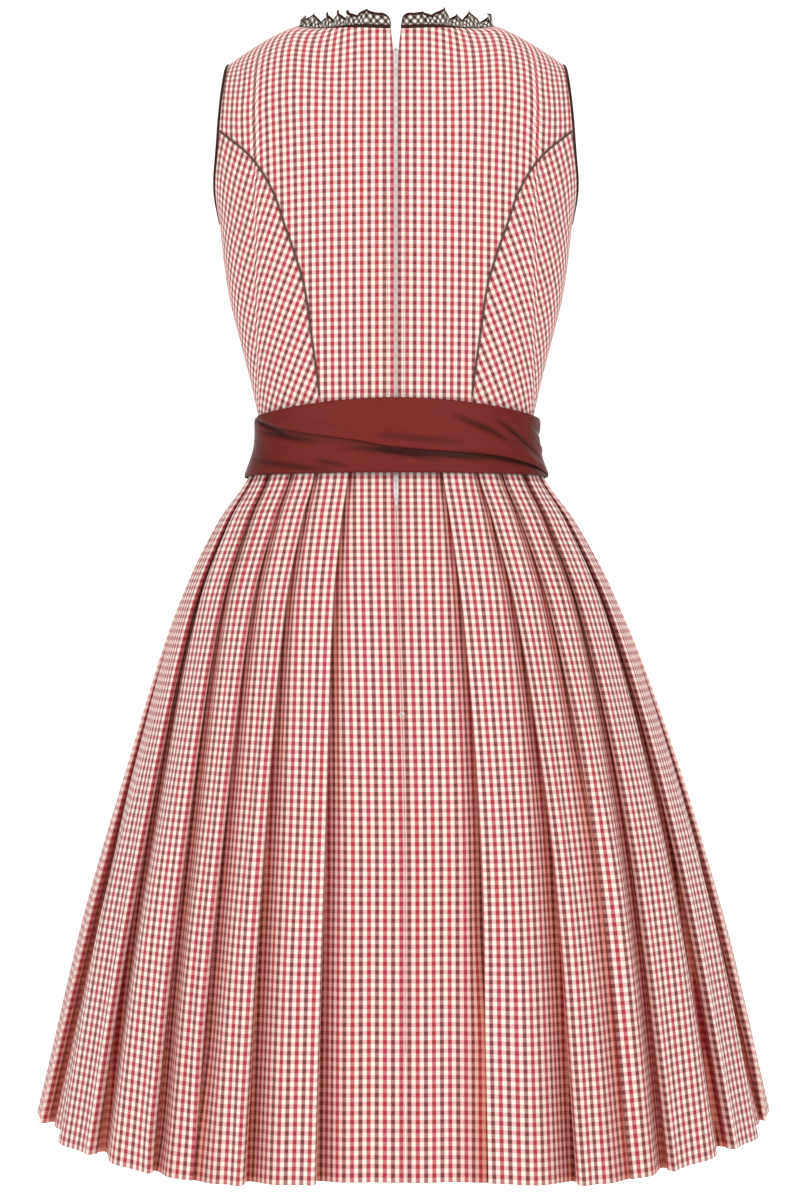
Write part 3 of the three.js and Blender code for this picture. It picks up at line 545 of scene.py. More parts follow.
def ruled(face, x, z):
    """Lengths round and up the body, in millimetres, at places on it."""
    across = np.clip(np.abs(x) / RULER_STEP, 0, len(ruler_x) - 1.001)
    up = np.clip((z - ruler_z[0]) / RULER_STEP, 0, len(ruler_z) - 1.001)
    i, j = np.floor(across).astype(int), np.floor(up).astype(int)
    s, t = across - i, up - j
    return [mix(mix(g[j, i], g[j, i + 1], s), mix(g[j + 1, i], g[j + 1, i + 1], s), t) for g in rulers[face]]


def princess_edge(face, inset, v):
    z = mix(WAIST_Z, PRINCESS_TOP_Z, v)
    return np.stack([turn_at(princess_half[face](z) + inset, z), z], -1)


def arm_edge_high(face, v):
    z = mix(PRINCESS_TOP_Z, float(top_z(SHOULDER_HALF)), v)
    return np.stack([turn_at(arm_half[face](z), z), z], -1)


def arm_edge_low(face, v):
    z = mix(PRINCESS_TOP_Z, UNDERARM_Z, v)
    return np.stack([mix(turn_at(arm_half[face](z), z), math.pi / 2, v ** 3), z], -1)


NECK_SHARE = 0.6


def top_edge(face, start, s):
    neck = mix(start, NECK_HALF, np.sin(np.clip(s / NECK_SHARE, 0, 1) * math.pi / 2))
    shoulder = mix(NECK_HALF, SHOULDER_HALF, np.clip((s - NECK_SHARE) / (1 - NECK_SHARE), 0, 1))
    x = np.where(s < NECK_SHARE, neck, shoulder)
    z = top_z(x) if face == "back" else np.where(x < NECK_HALF, front_neck_z(x), top_z(x))
    return np.stack([turn_at(x, z), z], -1)


def patch(bottom, top, inner, outer, s, v):
    """A four-sided patch between its edges, for all shares s across and v up."""
    one, zero = np.ones(1), np.zeros(1)
    t, u = v[:, None, None], s[None, :, None]
    ruled_up = mix(bottom(s)[None], top(s)[None], t)
    ruled_out = mix(inner(v)[:, None], outer(v)[:, None], u)
    corners = mix(mix(bottom(zero)[None], bottom(one)[None], u), mix(top(zero)[None], top(one)[None], u), t)
    return ruled_up + ruled_out - corners


PRINCESS_SHARE = 0.72
LOW_Z = WAIST_Z + SEAM_GAP / 2


def bodice_outer(face, v):
    low = princess_edge(face, -SEAM_GAP / 2, np.clip(v / PRINCESS_SHARE, 0, 1))
    high = arm_edge_high(face, np.clip((v - PRINCESS_SHARE) / (1 - PRINCESS_SHARE), 0, 1))
    edge = np.where((v < PRINCESS_SHARE)[:, None], low, high)
    edge[:, 1] = np.maximum(edge[:, 1], LOW_Z)
    return edge


def centre_net(face, zipped):
    start = float(zip_half(NECK_BACK_Z)) if zipped else 0.0
    gap = zip_half if zipped else (lambda z: np.zeros_like(z))
    top_z0 = top_edge(face, start, np.zeros(1))[0, 1]

    def centre(v):
        z = mix(LOW_Z, top_z0, v)
        return np.stack([turn_at(gap(z), z), z], -1)

    first, last = centre(np.zeros(1))[0, 0], bodice_outer(face, np.zeros(1))[0, 0]
    across = np.concatenate([np.linspace(0, NECK_SHARE, 37)[:-1], np.linspace(NECK_SHARE, 1, 29)])
    low = np.linspace(0, PRINCESS_SHARE, 73)[:-1]
    high = mix(PRINCESS_SHARE, 1, 1 - (1 - np.linspace(0, 1, 41)) ** 1.8)
    up = np.concatenate([low, high])
    return patch(lambda s: np.stack([mix(first, last, s), np.full_like(s, LOW_Z)], -1),
                 lambda s: top_edge(face, start, s), centre, lambda v: bodice_outer(face, v), across, up)


def side_net(face):
    def inner(v):
        edge = princess_edge(face, SEAM_GAP / 2, v)
        edge[:, 1] = np.maximum(edge[:, 1], LOW_Z)
        return edge

    first = inner(np.zeros(1))[0, 0]
    return patch(lambda s: np.stack([mix(first, math.pi / 2, s), np.full_like(s, LOW_Z)], -1),
                 lambda s: arm_edge_low(face, s), inner,
                 lambda v: np.stack([np.full_like(v, math.pi / 2), mix(LOW_Z, UNDERARM_Z, v)], -1),
                 np.linspace(0, 1, 49), np.linspace(0, 1, 81))


SLANT = {"back": math.radians(25), "front": math.radians(20)}
UNDER_SURFACE = -0.25           # the cloth's outer face lies this far inside the form


def panel(name, face, side, net, slanted):
    """One panel of the bodice with the check laid on its flat cut, as a sheet that replaces its node."""
    turn, z = net[..., 0], net[..., 1]
    points = turn_point(face, side, turn, z) + turn_normal(face, side, turn, z) * UNDER_SURFACE
    across, up = ruled(face, points[..., 0], z)
    if slanted:
        lean = SLANT[face]
        across, up = (across * math.cos(lean) + up * math.sin(lean),
                      up * math.cos(lean) - across * math.sin(lean))
    cloth = np.stack([side * across, up], -1)
    piece = shell(name + "_cloth", points, cloth, np.zeros(turn.shape))
    dress_piece(piece, name, dress_check)


for hand, side in HANDS:
    panel(f"back_{hand}", "back", side, centre_net("back", True), False)
    panel(f"side_back_{hand}", "back", side, side_net("back"), True)
    panel(f"side_front_{hand}", "front", side, side_net("front"), True)
front_half = centre_net("front", False)
front_net = np.concatenate([front_half[:, :0:-1], front_half], axis=1)
front_side = np.where(np.arange(front_net.shape[1]) < front_half.shape[1] - 1, -1, 1)[None]
panel("front_centre", "front", front_side, front_net, False)

# ---- Trims of the bodice ---------------------------------------------------------------------
# Thin piping in the princess seams, and dark brown bias binding folded over the armholes and the
# neck edge. All are strips of plain cotton, so each is a soft round or flattened cord of cloth.
BINDING = {"wide": 3.7, "thick": 2.5}
PIPING_RADIUS = 0.95
PIPING_LOW_Z = -344.0


def run_lengths(points):
    """Lengths along a path, from its start to each of its points."""
    return np.concatenate([[0], np.cumsum(np.linalg.norm(np.diff(points, axis=0), axis=1))])


def cord_along(name, points, side, up, section, ring=False):
    """A closed strip of a small section along a path, for bindings and piping."""
    count, sides = len(points), len(section)
    section = np.array(section)
    net = points[:, None] + side[:, None] * section[None, :, 0:1] + up[:, None] * section[None, :, 1:2]
    faces = net_faces(count, sides, ring, True)
    if not ring:
        faces += [tuple(range(sides - 1, -1, -1)), tuple(range((count - 1) * sides, count * sides))]
    mesh = new_mesh(name, net, faces)
    cloth = np.zeros((count, sides, 3), np.float32)
    cloth[..., 0] = run_lengths(points)[:, None] * MM
    cloth[..., 1] = np.arange(sides) * (2.0 * math.pi / sides) * MM
    mesh.attributes.new("cloth", "FLOAT_VECTOR", "POINT").data.foreach_set("vector", cloth.reshape(-1))
    bm = bmesh.new()
    bm.from_mesh(mesh)
    bmesh.ops.recalc_face_normals(bm, faces=bm.faces)
    bm.to_mesh(mesh)
    bm.free()
    mesh.polygons.foreach_set("use_smooth", [True] * len(mesh.polygons))
    return add_object(name, mesh)


def soft_section(wide, thick, sides=12, power=0.7):
    turn = (np.arange(sides) + 0.5) * 2 * math.pi / sides
    return [(wide / 2 * math.copysign(abs(math.cos(t)) ** power, math.cos(t)),
             thick / 2 * math.copysign(abs(math.sin(t)) ** power, math.sin(t))) for t in turn]


def plain_cotton(name, colour, roughness, rib):
    """Plain trim cloth: a slanted rib from the bias cut, and a slight change of colour along it."""
    material, tree, shader = new_material(name, {"Roughness": roughness, "Specular IOR Level": 0.1})
    place = attribute(tree, "cloth", "Vector")
    across, along, _ = split_xyz(tree, place)
    slant = maths(tree, "ADD", across, along)
    ribs = maths(tree, "SINE", maths(tree, "MULTIPLY", slant, 2 * math.pi / rib))
    cloudy = blend_colour(tree, noise(tree, place, scale=180.0), tinted(colour, 0.7), tinted(colour, 1.5))
    tree.links.new(cloudy, shader.inputs["Base Color"])
    add_bump(tree, shader, ribs, 0.4, 0.0002)
    return material


piping_cotton = plain_cotton("piping_cotton", (0.115, 0.058, 0.048), 0.75, 0.0008)
binding_cotton = plain_cotton("binding_cotton", (0.036, 0.011, 0.007), 0.7, 0.0007)


def run_directions(points, ring=False):
    if ring:
        return unit(np.roll(points, -1, axis=0) - np.roll(points, 1, axis=0))
    ends = np.concatenate([points[:1], points, points[-1:]])
    return unit(ends[2:] - ends[:-2])


for hand, side in HANDS:
    for face in ("back", "front"):
        z = np.linspace(PIPING_LOW_Z, PRINCESS_TOP_Z - 0.5, 90)
        turn = turn_at(princess_half[face](z), z)
        up = turn_normal(face, side, turn, z)
        points = turn_point(face, side, turn, z) + up * 0.5
        across = unit(np.cross(run_directions(points), up))
        cord = cord_along(f"piping_{face}_{hand}_cord", points, across, up,
                          soft_section(2 * PIPING_RADIUS, 1.9 * PIPING_RADIUS, 10, 1.0))
        dress_piece(cord, f"piping_{face}_{hand}", piping_cotton)


def beside(points, normals, centre, distance, ring):
    """A rail in the cloth's own surface, just past its open edge, towards a centre."""
    across = unit(np.cross(run_directions(points, ring), normals))
    across *= np.sign(np.sum(across * (np.asarray(centre) - points), axis=1))[:, None]
    return points + across * distance - normals * 0.35, across


for hand, side in HANDS:
    share = 1 - (1 - np.linspace(0, 1, 40)) ** 1.8
    low_share = np.linspace(0, 1, 49)
    runs = [("back", arm_edge_high("back", share[::-1])),
            ("back", arm_edge_low("back", low_share[1:])),
            ("front", arm_edge_low("front", low_share[1:-1][::-1])),
            ("front", arm_edge_high("front", share[:-1]))]
    points = np.concatenate([turn_point(face, side, edge[:, 0], edge[:, 1]) for face, edge in runs])
    normals = np.concatenate([turn_normal(face, side, edge[:, 0], edge[:, 1]) for face, edge in runs])
    arm_centre = (side * 172, 0, -98)
    rail, across = beside(points, normals, arm_centre, 0.9, True)
    binding = cord_along(f"armhole_binding_{hand}_strip", rail, across, normals,
                         soft_section(BINDING["wide"], BINDING["thick"]), ring=True)
    dress_piece(binding, f"armhole_binding_{hand}", binding_cotton)

# The neck edge, from the right of the zip, round the front, to the left of it.
neck_share = np.sin(np.linspace(0, 1, 70) * math.pi / 2)
neck_start = float(zip_half(NECK_BACK_Z))
neck_parts = []
for face, side, x in (("back", -1, mix(neck_start, NECK_HALF, neck_share)),
                      ("front", -1, NECK_HALF * neck_share[:-1][::-1]),
                      ("front", 1, NECK_HALF * neck_share[1:-1]),
                      ("back", 1, mix(neck_start, NECK_HALF, neck_share)[::-1])):
    z = top_z(x) if face == "back" else front_neck_z(x)
    turn = turn_at(x, z)
    neck_parts.append((turn_point(face, side, turn, z), turn_normal(face, side, turn, z)))
neck_points = np.concatenate([part[0] for part in neck_parts])
neck_normals = unit(np.concatenate([part[1] for part in neck_parts]))
for _ in range(6):
    neck_normals[1:-1] = unit(neck_normals[:-2] + neck_normals[1:-1] + neck_normals[2:])
neck_rail, neck_across = beside(neck_points, neck_normals, (0, 6, 70), 1.0, False)
neck_binding = cord_along("neck_binding_strip", neck_rail, neck_across, neck_normals,
                          soft_section(BINDING["wide"], BINDING["thick"]))
dress_piece(neck_binding, "neck_binding", binding_cotton)

# ---- Neck ruffle -----------------------------------------------------------------------------
# A bias strip of small black and cream check, gathered on to the neck binding so that it stands
# up in uneven waves, with its free edge bound in the same dark brown as the neck.
RUFFLE_HIGH = 11.0
RUFFLE_ROUND_END = 9.0
RUFFLE_FLAT = 16.0              # length beside the zip where it is hardly gathered
RUFFLE_WAVE = 21.0
RUFFLE_SWING = 4.6              # how far the waves stand in and out
RUFFLE_SLOW_SWING = 1.4
RUFFLE_TO_FRO = 2.4             # how far they lean along the neck
RUFFLE_FLARE = 1.2
RUFFLE_LEAN = 0.45              # how far it leans to the neck's middle as it stands up
LEAST_GATHER = 0.12
lengths = run_lengths(neck_rail)
neck_length = lengths[-1]
ruffle_at = np.linspace(0, neck_length, 1100)


def along_neck(values):
    return np.stack([np.interp(ruffle_at, lengths, values[:, k]) for k in range(3)], -1)


ruffle_foot = along_neck(neck_rail + neck_across * (BINDING["wide"] / 2 - 0.5))
ruffle_up = unit(along_neck(neck_across) * RUFFLE_LEAN + np.array([0, 0, 1.0]))
ruffle_out = unit(along_neck(neck_normals) + np.array([0, 0, -0.2]))
ruffle_run = run_directions(ruffle_foot)
from_end = np.minimum(ruffle_at, neck_length - ruffle_at)
gathered = np.clip((from_end - RUFFLE_FLAT * 0.5) / RUFFLE_FLAT, LEAST_GATHER, 1)
drift = 1.3 * np.sin(ruffle_at / 31.0) + 0.8 * np.sin(ruffle_at / 13.7 + 1.0)
phase = 2 * math.pi * ruffle_at / RUFFLE_WAVE + drift
in_out = gathered * (RUFFLE_SWING * np.sin(phase) + RUFFLE_SLOW_SWING * np.sin(phase * 0.47 + 2.0))
to_fro = gathered * RUFFLE_TO_FRO * np.sin(2 * phase + 0.5)
end_curve = np.sqrt(1 - np.clip(1 - from_end / RUFFLE_ROUND_END, 0, 1) ** 2)
high = RUFFLE_HIGH * end_curve * (1 + gathered * (0.12 * np.sin(phase * 0.5 + 0.4) + 0.10 * np.cos(phase)))
rise = np.linspace(0, 1, 9)
flare = rise ** RUFFLE_FLARE
ruffle_net = (ruffle_foot[None] + ruffle_up[None] * (rise[:, None, None] * high[None, :, None])
              + ruffle_out[None] * (flare[:, None, None] * in_out[None, :, None])
              + ruffle_run[None] * (flare[:, None, None] * to_fro[None, :, None]))
edge_run = run_lengths(ruffle_net[-1])
bias_a = (edge_run[None] + rise[:, None] * high[None]) * math.sqrt(0.5)
bias_b = (edge_run[None] - rise[:, None] * high[None]) * math.sqrt(0.5)
ruffle = shell("neck_ruffle_frill", ruffle_net, np.stack([bias_a, bias_b], -1), np.zeros(bias_a.shape),
               thick=0.5, offset=0.0)
SMALL_CHECK = {
    "Ground": (0.86, 0.82, 0.74),
    "Warp Band": (0.16, 0.13, 0.11),
    "Other Warp Band": (0.18, 0.14, 0.12),
    "Weft Band": (0.20, 0.16, 0.13),
    "Crossing": (0.018, 0.014, 0.013),
    "Other Crossing": (0.022, 0.016, 0.013),
}
dress_piece(ruffle, "neck_ruffle",
            check_cloth("small_dark_check", SMALL_CHECK, (0.0056, 0.0056), (0.5, 0.45, 0.4)))
ruffle_edge = cord_along("ruffle_binding_strip", ruffle_net[-1], ruffle_up, ruffle_out,
                         soft_section(2.7, 2.2, 8))
dress_piece(ruffle_edge, "ruffle_binding", binding_cotton)

# ---- Skirt -----------------------------------------------------------------------------------
# Three straight widths of the same check, laid at the waist in knife pleats that all look to the
# centre back, and left to open towards the hem. The centre back stays plain over the zip.
SKIRT_FORM = table(
    "z half back front round",
    (-390,  130.9, 87.3, 94.3, 0.85),
    (-418,  139.5, 96,   102,  0.86),
    (-460,  168,   121,  124,  0.9),
    (-540,  208,   166,  167,  0.96),
    (-660,  249,   210,  210,  1),
    (-820,  294,   253,  253,  1),
    (-1027, 343,   300,  300,  1),
)
# Shares of the half ring where each folded edge lies, how deep it stays, and the height at which
# it melts into the cloth on each side.
PLEATS = table(
    "waist left right deep melt_left melt_right",
    (0.137, 0.075, 0.070, 1.0,  -1100, -800),
    (0.235, 0.138, 0.148, 1.1,  -1100, -1100),
    (0.310, 0.189, 0.201, 0.8,  -900,  -640),
    (0.403, 0.232, 0.243, 1.0,  -980,  -1100),
    (0.485, 0.306, 0.328, 1.15, -1100, -1100),
    (0.560, 0.440, 0.450, 0.9,  -1100, -950),
    (0.640, 0.552, 0.560, 1.0,  -820,  -1100),
    (0.720, 0.664, 0.668, 1.1,  -1100, -1100),
    (0.800, 0.772, 0.774, 0.85, -1100, -760),
    (0.878, 0.880, 0.880, 1.0,  -940,  -1100),
)
SEAM_PLEAT = 5                  # the side seam lies inside this pleat
PLEAT_CLOTH = 97.0              # cloth from one folded edge to the next
PLEAT_GROWTH = 2.7
PLEAT_SHADOW = 2.0
TUCK = {"waist": 13.0, "hem": 3.5}      # how far the cloth runs in under an edge
LEAD = {"waist": 6.0, "hem": 24.0}      # how far from an edge the cloth starts to sink under it
STEP = {"waist": 2.3, "hem": 8.5}       # how far an edge stands off the cloth under it
STEP_MELTED = 0.18
MELT_RUN = 120.0
SPREAD_RATE = 0.35
PUFF = {"at": -500.0, "run": 70.0, "high": 3.2, "hem": 1.5}     # fullness below the sash
SWAY = {"side": -8.5, "fast": 1.6}
HEM_DIP = {"deep": 9.0, "from": -700.0, "run": 327.0, "share": 0.19, "spread": 0.10}
skirt_form = columns(SKIRT_FORM, "z", "half", "back", "front", "round")
RING_TURNS = np.linspace(0, math.pi, 721)

# Soft folds between the pleats, which the hanging cloth makes by itself: a place on the half ring
# at the top and the foot of the fold, the height it starts from, its width and its depth.
FOLD_FOOT_Z = -1040.0
SOFT_FOLDS = table(
    "hand top foot from wide deep",
    ("left",  0.035, 0.030, -700, 0.016, -3.5),
    ("right", 0.040, 0.038, -640, 0.018, -4.0),
    ("left",  0.110, 0.106, -620, 0.016, 5.0),
    ("right", 0.112, 0.108, -600, 0.020, 6.0),
    ("left",  0.175, 0.164, -560, 0.014, 5.5),
    ("right", 0.182, 0.176, -640, 0.018, 7.0),
    ("left",  0.240, 0.212, -640, 0.012, 4.5),
    ("right", 0.250, 0.222, -560, 0.014, 6.5),
    ("left",  0.310, 0.270, -540, 0.020, 8.0),
    ("right", 0.320, 0.290, -580, 0.022, 8.5),
    ("left",  0.400, 0.350, -560, 0.022, 9.0),
    ("left",  0.440, 0.400, -700, 0.018, -8.0),
    ("right", 0.410, 0.372, -600, 0.020, 8.0),
    ("right", 0.440, 0.412, -760, 0.016, -7.0),
    ("left",  0.510, 0.495, -560, 0.026, 9.0),
    ("right", 0.515, 0.505, -620, 0.024, 8.0),
    ("left",  0.600, 0.606, -600, 0.026, 8.5),
    ("right", 0.604, 0.612, -560, 0.024, 9.0),
    ("left",  0.700, 0.716, -640, 0.026, 8.0),
    ("right", 0.708, 0.720, -700, 0.022, 7.5),
    ("left",  0.800, 0.826, -560, 0.024, 8.5),
    ("right", 0.812, 0.828, -620, 0.026, 8.0),
    ("left",  0.945, 0.940, -600, 0.026, 6.0),
    ("right", 0.950, 0.946, -680, 0.024, 5.0),
)


def smooth_step(t):
    t = np.clip(t, 0, 1)
    return t * t * (3 - 2 * t)


def sway(z):
    """The skirt hangs a little to the wearer's right, from below the hips."""
    return SWAY["side"] * smooth_step(SWAY["fast"] * (WAIST_Z - z) / (WAIST_Z - HEM_Z))


def ring_ruler(z):
    """Places on the half ring at one height by length along it and distance out."""
    half, back, front, round_ = (float(skirt_form[name](z)) for name in ("half", "back", "front", "round"))
    cos = np.cos(RING_TURNS)
    x = half * np.sin(RING_TURNS)
    y = np.sign(cos) * np.where(cos > 0, back, front) * np.abs(cos) ** round_
    run = run_lengths(np.stack([x, y], -1))
    dx, dy = np.gradient(x, run), np.gradient(y, run)

    def place(along, out):
        length = np.clip(along, 0, run[-1])
        px, py = np.interp(length, run, x), np.interp(length, run, y)
        tx, ty = np.interp(length, run, dx), np.interp(length, run, dy)
        return np.stack([px - ty * out + tx * (along - length), py + tx * out + ty * (along - length)], -1)

    return run[-1], place


def soft_out(hand, share, z):
    out = np.zeros_like(share)
    for fold in SOFT_FOLDS:
        if fold["hand"] != hand:
            continue
        t = (fold["from"] - z) / (fold["from"] - FOLD_FOOT_Z)
        if t <= 0:
            continue
        middle = mix(fold["top"], fold["foot"], t)
        out += fold["deep"] * smooth_step(t * 1.6) * np.exp(-((share - middle) / fold["wide"]) ** 2)
    return out


def round_corners(marks, times):
    for _ in range(times):
        near, far = marks[:-1] * 0.75 + marks[1:] * 0.25, marks[:-1] * 0.25 + marks[1:] * 0.75
        marks = np.concatenate([marks[:1], np.stack([near, far], 1).reshape(-1, marks.shape[1]), marks[-1:]])
    return marks


def hem_dip(share, z):
    """The pleats that hang freely, off the back, reach a little lower than the rest."""
    low = smooth_step((HEM_DIP["from"] - z) / HEM_DIP["run"])
    return HEM_DIP["deep"] * low * np.exp(-((share - HEM_DIP["share"]) / HEM_DIP["spread"]) ** 2)


def skirt_line(z, hand, which):
    """The pleated section of one half at one height: places, cloth width and how deep in a fold, as a weight
    for painted shade.
    """
    total, place = ring_ruler(z)
    down = (WAIST_Z - z) / (WAIST_Z - HEM_Z)
    tuck = mix(TUCK["waist"], TUCK["hem"], down ** 0.8)
    lead = mix(LEAD["waist"], LEAD["hem"], down)
    start = max(float(zip_half(z)), SEAM_GAP)
    # Each mark is a place along the ring, a distance out from it, a width of cloth and how hidden, which
    # sets its painted shade.
    marks = [[start, -1.0, start, 0.5], [start + 1.2, 0.0, start + 1.2, 0.1]]
    last_edge, last_width = 0.0, 0.0
    seam_at = 0
    for k, pleat in enumerate(PLEATS):
        melt = smooth_step((z - pleat["melt_" + hand]) / MELT_RUN + 1)
        step = mix(STEP["waist"], STEP["hem"] * pleat["deep"], down ** 0.85) * mix(STEP_MELTED, 1, melt)
        edge = total * mix(pleat["waist"], pleat[hand], down ** SPREAD_RATE)
        width = PLEAT_CLOTH * (k + 1) + PLEAT_GROWTH * k
        slack = 0.0 if k == 0 else 0.8 * step * (1 - down) ** 2
        puff = PUFF["high"] * math.exp(-((z - PUFF["at"]) / PUFF["run"]) ** 2) + PUFF["hem"] * down
        middle = mix(last_edge, edge - lead, 0.55)
        far = last_width + (edge - lead) - last_edge
        marks += [[middle, slack + puff, last_width + middle - last_edge, 0.0],
                  [edge - lead * 1.3, slack + puff * 0.4, far - lead * 0.3, 0.05],
                  [edge - lead * 0.75, slack * 0.6 - step * 0.25, far + lead * 0.25, 0.35],
                  [edge - PLEAT_SHADOW, -step, far + lead + step * 0.6, 0.95]]
        if k == SEAM_PLEAT:
            seam_at = len(marks)
            marks.append([edge + tuck / 2, -step, far + lead + step + tuck / 2, 1.0])
        settled = tuck + PLEAT_SHADOW + 2
        marks += [[edge + tuck, -step, far + lead + step + tuck, 1.0],
                  [edge + tuck, -step * 0.1, width - tuck - step, 1.0],
                  [edge + 0.3, -step * 0.1, width - step * 1.1, 0.9],
                  [edge, step * 0.45, width - step * 0.5, 0.35],
                  [edge + 0.2, step, width, 0.03],
                  [edge + 2.5, step * 1.05, width + 2.3, 0.0],
                  [edge + settled, mix(step, slack, 0.2), width + settled, 0.0]]
        last_edge, last_width = edge, width
    rest = total - last_edge
    marks += [[last_edge + 0.6 * rest, 0.0, last_width + 0.6 * rest, 0.0],
              [total, 0.0, last_width + rest, 0.0]]
    marks = np.array(marks)
    part = round_corners(marks[:seam_at + 1] if which == "back" else marks[seam_at:], 2)
    out = part[:, 1] + soft_out(hand, part[:, 0] / total, z)
    places = place(part[:, 0], out)
    height = z - hem_dip(part[:, 0] / total, z)
    return np.concatenate([places, height[:, None]], 1), part[:, 2], part[:, 3]


slope_z = np.linspace(WAIST_Z, HEM_Z, 400)
slope_r = (skirt_form["half"](slope_z) + skirt_form["back"](slope_z)) / 2
slope_run = run_lengths(np.stack([slope_z, slope_r], -1))
skirt_z = np.concatenate([np.linspace(WAIST_Z - 0.15, -560, 46)[:-1], np.linspace(-560, HEM_Z, 66)])


def skirt_width(name, halves):
    """One width of the skirt: rows of section lines from the waist to the hem, as one sheet."""
    rows, widths, deeps = [], [], []
    for z in skirt_z:
        parts = []
        for hand, side, which, reverse in halves:
            spot, wide, painted_shade_weight = skirt_line(z, hand, which)
            spot = np.stack([side * spot[:, 0] + sway(z), spot[:, 1], spot[:, 2]], -1)
            part = (spot, side * wide, painted_shade_weight)
            parts.append([values[::-1][1:] for values in part] if reverse else part)
        for whole, values in zip((rows, widths, deeps), zip(*parts)):
            whole.append(np.concatenate(values))
    net, width, deep = np.array(rows), np.array(widths), np.array(deeps)
    fall = np.interp(-skirt_z, -slope_z, slope_run)
    cloth = np.stack([width, np.repeat(-fall[:, None], net.shape[1], 1)], -1)
    piece = shell(name + "_cloth", net, cloth, deep, thick=0.5, offset=0.0)
    dress_piece(piece, name, dress_check)


skirt_width("skirt_back_left", [("left", 1, "back", False)])
skirt_width("skirt_back_right", [("right", -1, "back", False)])
skirt_width("skirt_front", [("left", 1, "front", False), ("right", -1, "front", True)])

# ---- Sash ------------------------------------------------------------------------------------
# A long band of burgundy taffeta wound round the waist. Its outer turn crosses the under one on a
# slant at the back, and the stiff silk creases where it is pulled tight.
SASH_FORM = table(
    "z half back front",
    (-346, 137.2, 91,    101.4),
    (-361, 136,   91.2,  99.8),
    (-390, 136.6, 93.2,  100.4),
    (-418, 145.6, 102.6, 108.6),
)
SASH_TURN = table(
    "angle low",
    (75,   -365),
    (58,   -371),
    (38,   -379),
    (17,   -386),
    (0,    -393),
    (-22,  -397),
    (-45,  -401),
    (-66,  -408),
    (-84,  -415),
    (-110, -416.5),
    (-180, -416.5),
)
# Creases of the silk, by the turn from the centre back in degrees (left is positive) and the height.
SASH_MM_PER_DEGREE = 1.9
SASH_CREASE_REACH = 0.2
SASH_CREASES = table(
    "x0 z0 x1 z1 wide deep",
    (-27,  -366, -55,  -387, 2.6, -1.5),
    (-24,  -371, -52,  -393, 3.2, 1.2),
    (-47,  -369, -72,  -397, 2.4, -1.4),
    (-44,  -375, -66,  -402, 3.0, 1.0),
    (4,    -396, -14,  -404, 2.2, -1.1),
    (31,   -404, 20,   -410, 2.4, -1.1),
    (66,   -376, 36,   -386, 2.6, -1.4),
    (60,   -390, 40,   -396, 3.0, 1.0),
    (50,   -366, 12,   -379, 2.8, 1.1),
    (20,   -356, -16,  -362, 4.0, 0.8),
    (8,    -381, -24,  -388, 3.0, -0.9),
    (70,   -402, 30,   -413, 3.0, -1.2),
    (14,   -394, -30,  -402, 2.6, -1.5),
    (-30,  -398, -74,  -411, 2.6, -1.2),
    (76,   -362, 52,   -377, 2.4, -1.6),
    (-74,  -372, -100, -380, 3.0, -1.3),
    (-80,  -388, -112, -396, 3.4, 1.2),
    (-108, -366, -140, -384, 3.0, -1.4),
    (-130, -398, -164, -390, 3.2, 1.2),
    (-150, -366, -176, -378, 2.8, -1.2),
    (96,   -372, 126,  -386, 3.0, -1.3),
    (110,  -398, 146,  -392, 3.4, 1.1),
    (136,  -364, 168,  -376, 3.0, -1.2),
)
sash_form = columns(SASH_FORM, "z", "half", "back", "front")
sash_low = column(SASH_TURN, "angle", "low")
SASH_LOW_Z = -417.0


def sash_top_z(angle):
    return -354 + 7 * np.cos(2 * np.radians(angle))


def sash_point(angle, z, out):
    turn = np.radians(angle)
    half, back, front = sash_form["half"](z), sash_form["back"](z), sash_form["front"](z)

    def flat(turn):
        cos = np.cos(turn)
        return np.stack([half * np.sin(turn), np.sign(cos) * np.where(cos > 0, back, front)
                         * np.abs(cos) ** BODY_ROUND], -1)

    along = unit(flat(turn + 0.01) - flat(turn - 0.01))
    place = flat(turn)
    place = place + np.stack([-along[..., 1], along[..., 0]], -1) * out[..., None]
    return np.concatenate([place, z[..., None]], -1)


TAFFETA_RIB = 0.0006
TAFFETA_STRETCH = (40, 1500, 1)


def taffeta(name, colour, painted_shade_colour):
    """Silk taffeta: fine cross ribs, a few thicker slubs, a soft satin light on its folds, and painted shade
    where it turns away from view and deep in its creases and shadows.
    """
    material, tree, shader = new_material(name, {"Roughness": 0.46, "Specular IOR Level": 0.12})
    place = attribute(tree, "cloth", "Vector")
    _, along, _ = split_xyz(tree, place)
    ribs = maths(tree, "SINE", maths(tree, "MULTIPLY", along, 2 * math.pi / TAFFETA_RIB))
    slubs = noise(tree, place, detail=3.0, stretch=TAFFETA_STRETCH)
    silk = blend_colour(tree, slubs, tinted(colour, 0.78), tinted(colour, 1.22))
    # Painted shade where the silk turns away from view.
    turned = tree.nodes.new("ShaderNodeLayerWeight")
    turned.inputs["Blend"].default_value = 0.35
    silk = blend_colour(tree, maths(tree, "MULTIPLY", turned.outputs["Facing"], 0.75), silk, painted_shade_colour + (1,))
    # Painted shade from each point's weight: crease troughs and shadowed strips.
    painted_shade_share = maths(tree, "MULTIPLY", attribute(tree, "painted_shade_weight", "Fac"), 0.9, clamp=True)
    silk = blend_colour(tree, painted_shade_share, silk, painted_shade_colour + (1,))
    tree.links.new(silk, shader.inputs["Base Color"])
    add_bump(tree, shader, maths(tree, "MULTIPLY_ADD", ribs, 0.4, slubs), 0.35, 0.00015)
    return material


sash_silk = taffeta("burgundy_taffeta", (0.168, 0.016, 0.013), (0.028, 0.0045, 0.004))


SASH_UNDER_LAYER = 1.2
SASH_OVER_LAYER = 3.2
SASH_CREASE_SCALE = 1.35
SASH_EDGE = 2.2                 # the strip above the under turn's foot that lies in shadow


